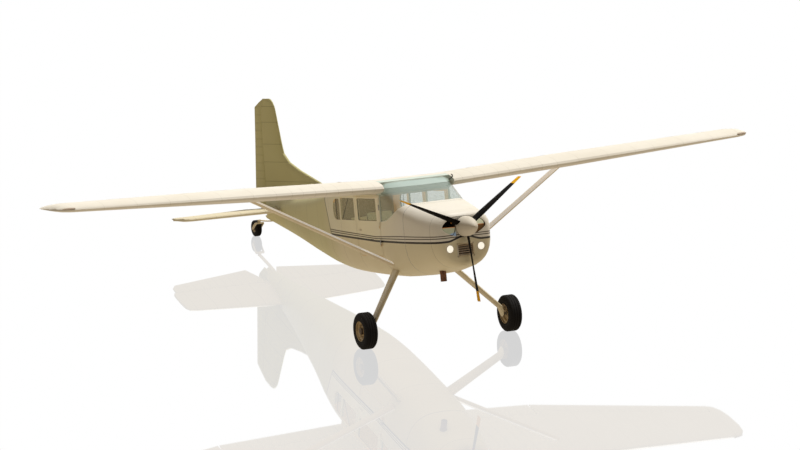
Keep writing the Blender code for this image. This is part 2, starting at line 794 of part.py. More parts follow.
def knuckle(side, low, facing):
    """A hinge knuckle with its strap; facing 1 lies on the door, -1 on the post."""
    high = low + KNUCKLE_HEIGHT
    barrel = rod("barrel", (side * DOOR_HINGE_X, DOOR_FRONT, low), (side * DOOR_HINGE_X, DOOR_FRONT, high),
                 KNUCKLE_RADIUS, 16)
    ends = sorted((DOOR_FRONT, DOOR_FRONT + facing * 0.036))
    xs = sorted((side * (DOOR_HINGE_X - 0.0065), side * (DOOR_HINGE_X + 0.0035)))
    join(barrel, box("strap", (xs[0], ends[0], low), (xs[1], ends[1], high)))
    root = sorted((DOOR_FRONT + facing * 0.018, DOOR_FRONT + facing * 0.036))
    xs = sorted((side * (DOOR_HINGE_X - 0.028), side * (DOOR_HINGE_X + 0.0035)))
    join(barrel, box("root", (xs[0], root[0], low), (xs[1], root[1], high)))
    return barrel


def window_outline(front, rear, low, high, corner, shrink=0.0):
    """Window in side view as y and z, its rear corners rounded."""
    front += shrink
    rear -= shrink
    low += shrink
    high -= shrink
    outline = [(front, high), (front, low)]
    for centre_z, start in ((low + corner, -90), (high - corner, 0)):
        for i in range(4):
            angle = math.radians(start + 30 * i)
            outline.append((rear - corner + corner * math.cos(angle), centre_z + corner * math.sin(angle)))
    return outline


def side_range(side, near=0.35, far=0.75):
    return sorted((side * near, side * far))


def make_cabin(airframe):
    """Hollow cabin with its windscreen and side openings, the doors, panes and furniture."""
    cabin = hull_block("cabin_shell", FIREWALL_REAR + SEAT_GAP, CABIN_REAR)
    cut(cabin, hull_block("hollow", FIREWALL_REAR - 0.05, CABIN_REAR + 0.05, -CABIN_WALL))
    foot = [(y, z) for y, z in WINDSCREEN_FOOT]
    sill = [(WINDSCREEN_FOOT[0][0], PAST)] + foot[:-1] + [(POST_FRONT, foot[-1][1]), (POST_FRONT, PAST)]
    cut(cabin, prism("windscreen_opening", sill, -PAST, PAST, 0))
    cut(cabin, box("door_opening", (-PAST, DOOR_FRONT, DOOR_LOW), (PAST, DOOR_REAR, DOOR_HIGH)))
    for name, front, rear, high, corner in WINDOWS[1:]:
        cut(cabin, prism("opening", window_outline(front, rear, SILL, high, corner), -PAST, PAST, 0))
    for side in (-1, 1):
        for low in KNUCKLE_LOWS:
            join(cabin, knuckle(side, low + KNUCKLE_HEIGHT + SEAT_GAP, -1))
    airframe.add(cabin, "khaki paint")

    for hand, side in (("left", 1), ("right", -1)):
        door = hull_block("door_" + hand, DOOR_FRONT - 0.1, DOOR_REAR + 0.1)
        cut(door, hull_block("hollow", DOOR_FRONT - 0.2, DOOR_REAR + 0.2, -CABIN_WALL))
        near, far = side_range(side)
        common(door, box("door_block", (near, DOOR_FRONT + RUNNING_GAP, DOOR_LOW + RUNNING_GAP),
                         (far, DOOR_REAR - RUNNING_GAP, DOOR_HIGH - RUNNING_GAP)))
        name, front, rear, high, corner = WINDOWS[0]
        cut(door, prism("opening", window_outline(front, rear, SILL, high, corner), near, far, 0))
        for low in KNUCKLE_LOWS:
            join(door, knuckle(side, low, 1))
        airframe.add(door, "khaki paint", (side * DOOR_HINGE_X, DOOR_FRONT, 0.0))
        for name, front, rear, high, corner in WINDOWS:
            pane = hull_block("window_" + name + "_" + hand, front - 0.1, rear + 0.1, -GLASS_INSET)
            cut(pane, hull_block("hollow", front - 0.2, rear + 0.2, -GLASS_INSET - GLASS))
            outline = window_outline(front, rear, SILL, high, corner, SEAT_GAP)
            common(pane, prism("pane_block", outline, near, far, 0))
            airframe.add(pane, "clear glass")

    make_windscreen(airframe)
    make_furniture(airframe)


def make_windscreen(airframe):
    """One wrapped sheet from the deck and side sills up to the roof's front edge."""
    flat = hull_side(*WINDSCREEN_FOOT[0]) * 0.98
    half_foot = [(0.0, WINDSCREEN_FOOT[0]), (0.2, WINDSCREEN_FOOT[0]), (flat, WINDSCREEN_FOOT[0])]
    half_foot += [(hull_side(y, z) - GLASS_INSET, (y, z)) for y, z in WINDSCREEN_FOOT[1:]]
    head_part = (ROOF_FRONT - WING[0][1]) / (WING[0][2] - WING[0][1])
    top_z = wing_point(ROOT_X, head_part, aerofoil(head_part, ROOT_THICKNESS)[0], 1)[2] - 0.012
    front = ROOF_FRONT - SEAT_GAP
    side_x = ROOT_X - GLASS - 0.002
    half_head = [(0.0, front, top_z), (0.25, front, top_z), (0.45, front, top_z - 0.006),
                 (0.52, front, top_z - 0.045), (side_x, front, LEAD_HEIGHT + 0.01),
                 (side_x, front, WINDSCREEN_HEAD_Z), (side_x, WINDSCREEN_FOOT[-1][0], WINDSCREEN_HEAD_Z)]
    half_foot = [(x, y + SEAT_GAP * (y < 1.1), z + SEAT_GAP) for x, (y, z) in half_foot]
    foot = [(-x, y, z) for x, y, z in reversed(half_foot[1:])] + half_foot
    head = [(-x, y, z) for x, y, z in reversed(half_head[1:])] + half_head
    grid = []
    for j in range(WINDSCREEN_ROWS + 1):
        part = j / WINDSCREEN_ROWS
        bulge = 4 * WINDSCREEN_BULGE * part * (1 - part)
        row = []
        for low, high in zip(foot, head):
            point = Vector(low).lerp(Vector(high), part)
            centred = 1 - abs(point.x) / 0.6
            row.append(point + Vector((0, -bulge * centred, bulge * centred)))
        grid.append(row)
    screen = sheet_solid("windscreen", grid, GLASS, Vector((0, POST_FRONT, 0)))
    airframe.add(screen, "clear glass")


def make_furniture(airframe):
    """Floor, instrument panel and the seats, fitted to the cabin's inner walls."""
    inside = -CABIN_WALL - SEAT_GAP
    low = (-PAST, FIREWALL_REAR + SEAT_GAP, FLOOR_TOP - FLOOR_THICK)
    floor = box("cabin_floor", low, (PAST, CABIN_REAR - 0.02, FLOOR_TOP))
    common(floor, hull_block("inner_form", FIREWALL_REAR - 0.05, CABIN_REAR + 0.02, inside))
    airframe.add(floor, "cabin lining")

    shelf = PANEL_TOP - 0.02
    outline = ((PANEL_Y, PANEL_LOW), (PANEL_Y + 0.03, PANEL_LOW), (PANEL_Y + 0.05, PANEL_TOP),
               (FIREWALL_REAR + SEAT_GAP, PANEL_TOP), (FIREWALL_REAR + SEAT_GAP, shelf), (PANEL_Y, shelf))
    panel = prism("instrument_panel", outline, -PAST, PAST, 0)
    common(panel, hull_block("inner_form", FIREWALL_REAR - 0.05, CABIN_REAR + 0.02, inside))
    airframe.add(panel, "dark metal")

    for name, half, middle, front, rear, back_top, cushion_top in SEATS:
        foot = FLOOR_TOP + SEAT_GAP
        outline = ((front, foot), (rear + 0.02, foot), (rear + 0.13, back_top), (rear + 0.05, back_top),
                   (rear - 0.05, cushion_top), (front, cushion_top))
        seat = prism(name, outline, middle - half, middle + half, 0)
        common(seat, hull_block("inner_form", FIREWALL_REAR, CABIN_REAR + 0.02, inside - 0.01))
        airframe.add(seat, "seat fabric")


def make_roof(airframe):
    """Centre section between the wings, in the wing's own outline over the cabin top."""
    front_part = (ROOF_FRONT - WING[0][1]) / (WING[0][2] - WING[0][1])
    outline = []
    for i in range(9):
        part = front_part + (1 - front_part) * i / 8
        point = wing_point(ROOT_X, part, aerofoil(part, ROOT_THICKNESS)[0], 1)
        outline.append((point[1], point[2]))
    bottom = ROOF_DECK + SEAT_GAP
    outline[0] = (ROOF_FRONT, outline[0][1])
    outline += [(outline[-1][0], bottom), (ROOF_FRONT, bottom)]
    side = ROOT_X - SEAT_GAP
    airframe.add(prism("wing_centre_section", outline, -side, side, 0), "cream paint")


def aileron_cut(x):
    part = (x - AILERON_INNER) / (AILERON_OUTER - AILERON_INNER)
    return AILERON_CUT_INNER + (AILERON_CUT_OUTER - AILERON_CUT_INNER) * part


def make_wings(airframe):
    """Both wings with their flaps, ailerons and struts."""
    for hand, side in (("left", 1), ("right", -1)):
        wing = wing_form("wing_" + hand, side)
        bays = (
            ((FLAP_INNER, FLAP_CUT), (FLAP_OUTER, FLAP_CUT), (FLAP_OUTER, 3.4), (FLAP_INNER, 3.4)),
            ((AILERON_INNER, aileron_cut(AILERON_INNER)), (AILERON_OUTER, aileron_cut(AILERON_OUTER)),
             (AILERON_OUTER, 3.4), (AILERON_INNER, 3.4)),
            ((FLAP_OUTER - 0.01, HINGE_RIB_REAR), (AILERON_INNER + 0.01, HINGE_RIB_REAR),
             (AILERON_INNER + 0.01, 3.4), (FLAP_OUTER - 0.01, 3.4)),
        )
        for bay in bays:
            cut(wing, prism("bay", [(side * x, y) for x, y in bay], 0.2, 1.2, 2))
        airframe.add(wing, "cream paint")

        surfaces = (
            ("flap_" + hand, FLAP_INNER, FLAP_OUTER, lambda x: FLAP_CUT),
            ("aileron_" + hand, AILERON_INNER, AILERON_OUTER, aileron_cut),
        )
        for name, inner, outer, front in surfaces:
            near = inner + RUNNING_GAP
            far = outer - RUNNING_GAP
            surface = loft(name, [surface_ring(x, front(x), side) for x in (near, far)])
            axis_in = surface_axis(near, front(near), side)
            axis_out = surface_axis(far, front(far), side)
            run = (axis_out - axis_in) / (far - near)
            for x, reach in ((near, inner + SEAT_GAP), (far, outer - SEAT_GAP)):
                seat = axis_in + run * (reach - near)
                inside = axis_in + run * (x - near + math.copysign(0.03, x - reach))
                join(surface, pointed_pin("pin", inside, seat, 0.006))
            airframe.add(surface, "cream paint", tuple(axis_in))

        foot = Vector(mirrored(STRUT_FOOT, side))
        head = Vector(mirrored(STRUT_HEAD, side))
        span = (head - foot).normalized()
        chord = Vector((0, 1, 0))
        chord = (chord - span * chord.dot(span)).normalized()
        thick = span.cross(chord)
        rings = []
        for end in (foot, head):
            ring = []
            for i in range(STRUT_POINTS):
                angle = math.tau * i / STRUT_POINTS
                ring.append(end + chord * (STRUT_CHORD / 2 * math.cos(angle))
                            + thick * (STRUT_THICK / 2 * math.sin(angle)))
            rings.append(ring)
        strut = loft("strut_" + hand, rings)
        cut(strut, hull_block("hull_form", 1.0, 2.2, SEAT_GAP))
        cut(strut, wing_form("wing_form", side, SEAT_GAP))
        airframe.add(strut, "cream paint")


def slab_ring(station, lead, rear, half, rear_half, place):
    """Section of a tail surface: round leading edge, flat rear face."""
    chord = rear - lead
    shape = ((0.0, 0.0), (0.02, 0.40), (0.09, 0.75), (0.30, 1.0), (0.65, 0.82))
    side = [(lead + chord * part, half * depth) for part, depth in shape]
    side.append((rear, min(rear_half, half)))
    ring = [place(station, y, t) for y, t in side]
    ring += [place(station, y, -t) for y, t in reversed(side[1:])]
    return ring


def nosed_ring(station, axis_y, nose, trail, place, horn=0.0):
    """Section of a rudder or elevator: round nose about the hinge, then a taper."""
    ring = []
    for i in range(7):
        angle = math.radians(90 + 30 * i)
        ring.append(place(station, axis_y - horn + nose * math.cos(angle), nose * math.sin(angle)))
    middle = (axis_y - horn + trail) / 2
    edge = TRAILING_EDGE_HALF
    ring += [place(station, middle, -(nose + edge) / 2), place(station, trail, -edge)]
    ring += [place(station, trail, edge), place(station, middle, (nose + edge) / 2)]
    return ring


def rudder_axis_y(z):
    return RUDDER_AXIS_FOOT[0] + RUDDER_AXIS_SLOPE * z


def rudder_front(z):
    """Foremost point of the rudder at a height, its balance horn included."""
    _, _, nose, horn = between(RUDDER, max(z, RUDDER[0][0]))
    return rudder_axis_y(z) - nose - horn


def make_tail(airframe):
    """Rear fuselage with its shelf, fin, rudder, stabiliser halves and elevators."""
    cone = hull_block("tailcone", CABIN_REAR + SEAT_GAP, TAIL_SHELF_REAR)
    cut(cone, box("tail_step", (-0.2, TAIL_POST_Y, TAIL_SHELF_TOP), (0.2, 8.0, 0.6)))
    airframe.add(cone, "khaki paint")

    def upright(z, y, x):
        return (x, y, z)

    rings = []
    for z, lead, half in FIN:
        nose = between(RUDDER, z)[2]
        rings.append(slab_ring(z, lead, rudder_front(z) - RUNNING_GAP, half, nose, upright))
    fin = loft("fin", rings)
    cut(fin, hull_block("hull_form", 3.8, 7.6, SEAT_GAP))
    cut(fin, box("post_clear", (-0.2, TAIL_POST_Y - 0.03, 0.0), (0.2, 7.9, 0.32)))
    airframe.add(fin, "cream paint")

    rings = [nosed_ring(z, rudder_axis_y(z), nose, trail, upright, horn) for z, trail, nose, horn in RUDDER]
    rudder = loft("rudder", rings)
    foot_z = RUDDER[0][0]
    pin_top = (0, rudder_axis_y(foot_z + 0.03), foot_z + 0.03)
    pin_foot = (0, rudder_axis_y(TAIL_SHELF_TOP), TAIL_SHELF_TOP + SEAT_GAP)
    join(rudder, pointed_pin("pin", pin_top, pin_foot, 0.008))
    airframe.add(rudder, "cream paint", (0.0, rudder_axis_y(foot_z), foot_z))

    axis_y = STABILISER[0][2] + RUNNING_GAP + ELEVATOR_NOSE
    for hand, side in (("left", 1), ("right", -1)):
        def sideways(x, y, t, side=side):
            return (side * x, y, STABILISER_Z + t)

        rings = [slab_ring(x, lead, rear, half, STABILISER_REAR_HALF, sideways)
                 for x, lead, rear, half in STABILISER]
        stabiliser = loft("stabiliser_" + hand, rings)
        cut(stabiliser, hull_block("hull_form", 6.0, 7.6, SEAT_GAP))
        airframe.add(stabiliser, "cream paint")

        rings = [nosed_ring(x, axis_y, ELEVATOR_NOSE, trail, sideways) for x, trail in ELEVATOR]
        elevator = loft("elevator_" + hand, rings)
        inner = ELEVATOR[0][0]
        skin = hull_side(axis_y, STABILISER_Z) + SEAT_GAP
        pin_in = (side * (inner + 0.03), axis_y, STABILISER_Z)
        join(elevator, pointed_pin("pin", pin_in, (side * skin, axis_y, STABILISER_Z), 0.007))
        airframe.add(elevator, "cream paint", (side * inner, axis_y, STABILISER_Z))


def make_tyre(airframe, name, centre, radius, width, rim_radius):
    """Tyre with a flat tread and round shoulders, turned about its axle."""
    half = width / 2
    seat = rim_radius * BEAD_SHARE
    profile = ((seat, -half * 0.62), (rim_radius, -half * 0.80), (radius * 0.80, -half),
               (radius * 0.93, -half * 0.90), (radius, -half * 0.58), (radius, half * 0.58),
               (radius * 0.93, half * 0.90), (radius * 0.80, half), (rim_radius, half * 0.80),
               (seat, half * 0.62))
    airframe.add(turned(name, profile, centre, (1, 0, 0)), "black rubber", centre)


def rim_profile(rim_radius, rim_width, bore):
    """Rim from the bore's inner end out to the bead seat and back to the hub's outer face."""
    seat = rim_radius * BEAD_SHARE - SEAT_GAP * 2
    half = rim_width / 2
    return [(bore, -half * 0.9), (seat * 0.45, -half * 0.9), (seat * 0.55, -half * 0.5),
            (seat * 0.88, -half * 0.5), (seat * 0.92, -half), (seat, -half),
            (seat, half), (seat * 0.92, half), (seat * 0.88, half * 0.6),
            (seat * 0.55, half * 0.6), (seat * 0.45, half)]


def make_main_gear(airframe):
    """Legs, axles, rims and tyres of the two main wheels."""
    wheel = level_point(MAIN_WHEEL)
    for hand, side in (("left", 1), ("right", -1)):
        rings = []
        for x, y, z, wide, thick in LEG:
            ring = []
            for i in range(12):
                angle = math.tau * i / 12
                across = thick / 2 * math.sin(angle)
                along = wide / 2 * math.cos(angle)
                ring.append((side * (x + LEG_LEAN[0] * across), y + along, z + LEG_LEAN[1] * across))
            rings.append(ring)
        leg = loft("gear_leg_" + hand, rings)
        cut(leg, hull_block("hull_form", 1.0, 2.2, SEAT_GAP))
        near, far = sorted((side * LEG_END_X, side * 1.2))
        cut(leg, box("leg_end", (near, 0.9, -1.7), (far, 1.7, -1.0)))
        airframe.add(leg, "cream paint")

        centre = (side * wheel[0], wheel[1], wheel[2])
        face = side * (LEG_END_X + SEAT_GAP)
        flange = face + side * AXLE_FLANGE
        axle = rod("axle_" + hand, (face, wheel[1], wheel[2]), (flange, wheel[1], wheel[2]), FLANGE_RADIUS)
        end = side * (MAIN_WHEEL[0] + AXLE_REACH)
        join(axle, rod("spindle", (face, wheel[1], wheel[2]), (end, wheel[1], wheel[2]), AXLE_RADIUS))
        airframe.add(axle, "steel")

        make_tyre(airframe, "tyre_main_" + hand, centre, MAIN_RADIUS, MAIN_WIDTH, RIM_RADIUS)
        bore = AXLE_RADIUS + SEAT_GAP
        cap_inner = AXLE_REACH + 0.004
        cap_outer = RIM_WIDTH / 2 + 0.012
        profile = [(0.0, cap_inner), (bore, cap_inner)] + rim_profile(RIM_RADIUS, RIM_WIDTH, bore)
        profile += [(HUB_CAP_RADIUS, cap_outer), (0.0, cap_outer)]
        rim = turned("rim_main_" + hand, profile, centre, (side, 0, 0))
        airframe.add(rim, "wheel metal", centre)


def make_tail_gear(airframe):
    """Tail spring, swivelling fork, rim and tyre."""
    wheel = level_point(TAIL_WHEEL)
    rings = []
    for y, z in TAIL_SPRING:
        corners = ((-1, -1), (1, -1), (1, 1), (-1, 1))
        rings.append([(SPRING_HALF * across, y, z + SPRING_THICK / 2 * up) for across, up in corners])
    spring = loft("tail_spring", rings)
    boss_top = (0, SWIVEL_Y, SWIVEL_TOP + 0.025)
    join(spring, rod("boss", (0, SWIVEL_Y, SWIVEL_TOP + SEAT_GAP), boss_top, SWIVEL_RADIUS + 0.006, 24))
    end_y, end_z = TAIL_SPRING[-1]
    join(spring, box("spring_end", (-SPRING_HALF + 0.001, end_y - 0.02, end_z - SPRING_THICK / 2 + 0.0005),
                     (SPRING_HALF - 0.001, SWIVEL_Y, end_z + SPRING_THICK / 2 - 0.0005)))
    cut(spring, hull_block("hull_form", 6.6, 7.6, SEAT_GAP))
    airframe.add(spring, "steel")

    crown_low = SWIVEL_TOP - 0.039
    crown_top = crown_low + FORK_CROWN
    fork = rod("tail_fork", (0, SWIVEL_Y, crown_low), (0, SWIVEL_Y, SWIVEL_TOP), SWIVEL_RADIUS, 24)
    low = (-FORK_ARM_OUT, SWIVEL_Y - 0.02, crown_low)
    join(fork, box("crown", low, (FORK_ARM_OUT, SWIVEL_Y + 0.02, crown_top)))
    arm = ((SWIVEL_Y - 0.02, crown_top), (SWIVEL_Y + 0.02, crown_top),
           (wheel[1] + 0.022, wheel[2] + 0.012), (wheel[1] + 0.012, wheel[2] - 0.022),
           (wheel[1] - 0.022, wheel[2] - 0.014), (SWIVEL_Y - 0.02, crown_low - 0.006))
    for side in (-1, 1):
        near, far = sorted((side * FORK_ARM_IN, side * FORK_ARM_OUT))
        join(fork, prism("arm", arm, near, far, 0))
    pin = (FORK_ARM_OUT - 0.002, wheel[1], wheel[2])
    join(fork, rod("axle", mirrored(pin, -1), pin, TAIL_AXLE_RADIUS, 24))
    airframe.add(fork, "steel", (0.0, SWIVEL_Y, SWIVEL_TOP))

    make_tyre(airframe, "tyre_tail", wheel, TAIL_RADIUS, TAIL_WIDTH, TAIL_RIM_RADIUS)
    bore = TAIL_AXLE_RADIUS + SEAT_GAP
    profile = rim_profile(TAIL_RIM_RADIUS, TAIL_RIM_WIDTH, bore)
    profile.append((bore, TAIL_RIM_WIDTH / 2))
    airframe.add(turned("rim_tail", profile, wheel, (1, 0, 0)), "wheel metal", wheel)


def main():
    clear_scene()
    airframe = Airframe()
    make_nose(airframe)
    make_engine(airframe)
    make_propeller(airframe)
    make_cabin(airframe)
    make_roof(airframe)
    make_wings(airframe)
    make_tail(airframe)
    make_main_gear(airframe)
    make_tail_gear(airframe)


main()
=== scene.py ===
import json
import math
import bmesh
import bpy
from mathutils import Matrix, Vector
from mathutils.bvhtree import BVHTree

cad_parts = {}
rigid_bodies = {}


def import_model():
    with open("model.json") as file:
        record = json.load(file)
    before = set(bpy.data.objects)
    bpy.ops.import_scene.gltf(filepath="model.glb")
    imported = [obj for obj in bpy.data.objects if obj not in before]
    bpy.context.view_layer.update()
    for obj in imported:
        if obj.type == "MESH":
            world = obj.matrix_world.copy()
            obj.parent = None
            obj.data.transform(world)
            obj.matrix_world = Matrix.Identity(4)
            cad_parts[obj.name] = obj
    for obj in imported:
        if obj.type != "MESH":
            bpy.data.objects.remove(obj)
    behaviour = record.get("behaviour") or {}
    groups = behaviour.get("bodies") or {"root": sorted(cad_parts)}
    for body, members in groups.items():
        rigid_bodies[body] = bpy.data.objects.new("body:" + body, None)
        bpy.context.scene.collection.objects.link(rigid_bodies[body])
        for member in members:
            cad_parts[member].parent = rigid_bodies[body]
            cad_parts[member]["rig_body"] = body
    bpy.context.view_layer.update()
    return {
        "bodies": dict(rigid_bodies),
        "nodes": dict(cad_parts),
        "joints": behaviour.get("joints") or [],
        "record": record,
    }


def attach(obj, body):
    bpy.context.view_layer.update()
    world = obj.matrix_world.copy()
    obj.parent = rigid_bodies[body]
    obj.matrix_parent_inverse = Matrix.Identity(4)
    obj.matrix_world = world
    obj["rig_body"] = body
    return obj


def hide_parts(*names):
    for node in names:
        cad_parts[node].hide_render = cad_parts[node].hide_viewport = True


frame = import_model()
nodes = frame["nodes"]
bodyOfNode = {name: part["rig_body"] for name, part in nodes.items()}

# the aircraft's own level frame (x to port, y aft, z up, from the propeller hub) sits nose up on its gear
stance = {"pitch": math.radians(12.0), "hubBack": -3.723, "hubHigh": 1.897}
levelToRow = (Matrix.Translation((0.0, stance["hubBack"], stance["hubHigh"]))
              @ Matrix.Rotation(-stance["pitch"], 4, "X"))
rowToLevel = levelToRow.inverted()
print("frame loaded:", len(nodes), "nodes")


# camera at the photograph's place
cameraView = {
    "position": (-32.422, -72.8775, 21.303),
    "yaw": 24.4157,
    "pitch": -14.2416,
    "roll": -0.2918,
    "lens": 252.0,
    "sensor": 36.0,
}


def addObject(name, data):  # a new object at the origin
    made = bpy.data.objects.new(name, data)
    bpy.context.collection.objects.link(made)
    return made


def placeCamera(view):
    yaw, pitch, roll = (math.radians(view[key]) for key in ("yaw", "pitch", "roll"))
    forward = Vector((math.sin(yaw) * math.cos(pitch), math.cos(yaw) * math.cos(pitch), math.sin(pitch)))
    right = Vector((math.cos(yaw), -math.sin(yaw), 0.0))
    up = right.cross(forward)
    rolledRight = right * math.cos(roll) + up * math.sin(roll)
    rolledUp = up * math.cos(roll) - right * math.sin(roll)
    turn = Matrix((rolledRight, rolledUp, -forward)).transposed()
    data = bpy.data.cameras.new("photoCamera")
    data.lens = view["lens"]
    data.sensor_width = view["sensor"]
    data.clip_end = 400.0
    camera = addObject("photoCamera", data)
    camera.matrix_world = Matrix.Translation(view["position"]) @ turn.to_4x4()
    bpy.context.scene.camera = camera


placeCamera(cameraView)


# small helpers for shader trees
def srgb(red, green, blue):
    scaled = [value / 255.0 for value in (red, green, blue)]
    linear = [value / 12.92 if value <= 0.04045 else ((value + 0.055) / 1.055) ** 2.4 for value in scaled]
    return (*linear, 1.0)


def addNode(tree, kind, sockets=None, **settings):
    made = tree.nodes.new("ShaderNode" + kind)
    for name, value in settings.items():
        setattr(made, name, value)
    for name, value in (sockets or {}).items():
        if isinstance(value, bpy.types.NodeSocket):
            tree.links.new(value, made.inputs[name])
        else:
            made.inputs[name].default_value = value
    return made


def calc(tree, operation, *values):
    return addNode(tree, "Math", dict(enumerate(values)), operation=operation).outputs[0]


def times(tree, first, second):
    return calc(tree, "MULTIPLY", first, second)


def plus(tree, first, second):
    return calc(tree, "ADD", first, second)


def minus(tree, first, second):
    return calc(tree, "SUBTRACT", first, second)


def magnitude(tree, value):
    return calc(tree, "ABSOLUTE", value)


def mixColours(tree, factor, first, second):
    return addNode(tree, "Mix", {0: factor, 6: first, 7: second}, data_type="RGBA").outputs[2]


def spread(tree, value, low, high, toLow=0.0, toHigh=1.0, ease="LINEAR"):
    sockets = {"Value": value, "From Min": low, "From Max": high, "To Min": toLow, "To Max": toHigh}
    return addNode(tree, "MapRange", sockets, interpolation_type=ease).outputs["Result"]


def levelPoint(tree):
    place = addNode(tree, "TexCoord").outputs["Object"]
    sockets = {"Vector": place, "Location": rowToLevel.translation, "Rotation": (stance["pitch"], 0.0, 0.0)}
    turned = addNode(tree, "Mapping", sockets).outputs["Vector"]
    split = addNode(tree, "SeparateXYZ", {"Vector": turned})
    return split.outputs["X"], split.outputs["Y"], split.outputs["Z"]


def nearest(tree, coordinate, places):  # distance to the nearest of several places
    closest = None
    for place in places:
        away = magnitude(tree, minus(tree, coordinate, place))
        closest = away if closest is None else calc(tree, "MINIMUM", closest, away)
    return closest


def lineAt(tree, distance, halfWidth, soft=0.35):  # 1 on a line, 0 off it
    return spread(tree, distance, halfWidth * (1 + soft), halfWidth * (1 - soft))


def newGroup(name, inputs, outputs):
    tree = bpy.data.node_groups.new(name, "ShaderNodeTree")
    for label, kind, value in inputs:
        socket = tree.interface.new_socket(label, in_out="INPUT", socket_type="NodeSocket" + kind)
        socket.default_value = value
    for label, kind in outputs:
        tree.interface.new_socket(label, in_out="OUTPUT", socket_type="NodeSocket" + kind)
    return tree, tree.nodes.new("NodeGroupInput").outputs, tree.nodes.new("NodeGroupOutput").inputs


def placeGroup(tree, group, sockets=None):
    return addNode(tree, "Group", sockets, node_tree=group).outputs


def makeMaterial(name, **constants):  # a material with its tree and its Principled BSDF, plain values set
    made = bpy.data.materials.new(name)
    made.use_nodes = True
    shader = made.node_tree.nodes["Principled BSDF"]
    for label, value in constants.items():
        shader.inputs[label.replace("_", " ")].default_value = value
    return made, made.node_tree, shader


# soft light from above and behind, with a pale floor that mirrors the aircraft faintly
studio = {
    "keyStrength": 3.6,
    "keyColour": (1.0, 0.985, 0.95),
    "keyTowards": (-0.42, -0.20, -1.0),
    "keyAngle": 12.0,
    "keyHigh": 12.0,
    "sky": (0.17, 0.145, 0.115, 1.0),
    "white": (1.0, 1.0, 1.0, 1.0),
    "floorGlow": (0.62, 0.53, 0.40, 1.0),
    "floorShine": 0.02,
    "floorSize": 400.0,
    "mirrorShare": 0.34,
}


def makeStudio(look):
    key = bpy.data.lights.new("keyLight", "SUN")
    key.energy = look["keyStrength"]
    key.color = look["keyColour"]
    key.angle = math.radians(look["keyAngle"])
    keyObject = addObject("keyLight", key)
    keyObject.rotation_euler = Vector(look["keyTowards"]).to_track_quat("-Z", "Y").to_euler()
    keyObject.location = (0.0, 0.0, look["keyHigh"])

    world = bpy.context.scene.world or bpy.data.worlds.new("studioWorld")
    bpy.context.scene.world = world
    world.use_nodes = True
    tree = world.node_tree
    path = addNode(tree, "LightPath")
    seen = calc(tree, "MAXIMUM", path.outputs["Is Glossy Ray"], path.outputs["Is Camera Ray"])
    sky = mixColours(tree, seen, look["sky"], look["white"])
    tree.links.new(sky, tree.nodes["Background"].inputs["Color"])
    bpy.context.scene.view_settings.view_transform = "Standard"

    bm = bmesh.new()
    bmesh.ops.create_grid(bm, x_segments=1, y_segments=1, size=look["floorSize"] / 2)
    mesh = bpy.data.meshes.new("paleFloor")
    bm.to_mesh(mesh)
    bm.free()
    floor = addObject("paleFloor", mesh)
    paint = bpy.data.materials.new("paleFloorPaint")
    paint.use_nodes = True
    tree = paint.node_tree
    tree.nodes.clear()
    path = addNode(tree, "LightPath")
    seen = path.outputs["Is Camera Ray"]
    colour = mixColours(tree, seen, look["floorGlow"], look["white"])
    glow = addNode(tree, "Emission", {"Color": colour})
    mirror = addNode(tree, "BsdfGlossy", {"Color": look["white"], "Roughness": look["floorShine"]})
    share = times(tree, seen, look["mirrorShare"])
    mix = addNode(tree, "MixShader", {0: share, 1: glow.outputs["Emission"], 2: mirror.outputs["BSDF"]})
    out = addNode(tree, "OutputMaterial")
    tree.links.new(mix.outputs["Shader"], out.inputs["Surface"])
    mesh.materials.append(paint)


makeStudio(studio)
print("camera and studio ready")


# shared effects: slow patches with a fine grain, and woven cloth
def makeGrainGroup():
    tree, given, result = newGroup(
        "patchAndGrain",
        (("Colour", "Color", (0.8, 0.8, 0.8, 1.0)), ("Patch Colour", "Color", (0.5, 0.5, 0.5, 1.0)),
         ("Patch Amount", "Float", 0.2), ("Patch Size", "Float", 0.5), ("Grain Size", "Float", 0.01),
         ("Roughness", "Float", 0.5), ("Roughness Swing", "Float", 0.1)),
        (("Colour", "Color"), ("Roughness", "Float"), ("Height", "Float")))
    place = addNode(tree, "TexCoord").outputs["Object"]
    slow = addNode(tree, "TexNoise", {"Vector": place, "Detail": 4.0, "Roughness": 0.55,
                                      "Scale": calc(tree, "DIVIDE", 1.0, given["Patch Size"])})
    fine = addNode(tree, "TexNoise", {"Vector": place, "Detail": 3.0,
                                      "Scale": calc(tree, "DIVIDE", 1.0, given["Grain Size"])})
    patch = spread(tree, slow.outputs["Fac"], 0.42, 0.68)
    amount = times(tree, patch, given["Patch Amount"])
    tree.links.new(mixColours(tree, amount, given["Colour"], given["Patch Colour"]), result["Colour"])
    mixed = plus(tree, times(tree, patch, 0.6), times(tree, fine.outputs["Fac"], 0.4))
    swing = times(tree, minus(tree, mixed, 0.4), given["Roughness Swing"])
    tree.links.new(plus(tree, given["Roughness"], swing), result["Roughness"])
    tree.links.new(fine.outputs["Fac"], result["Height"])
    return tree


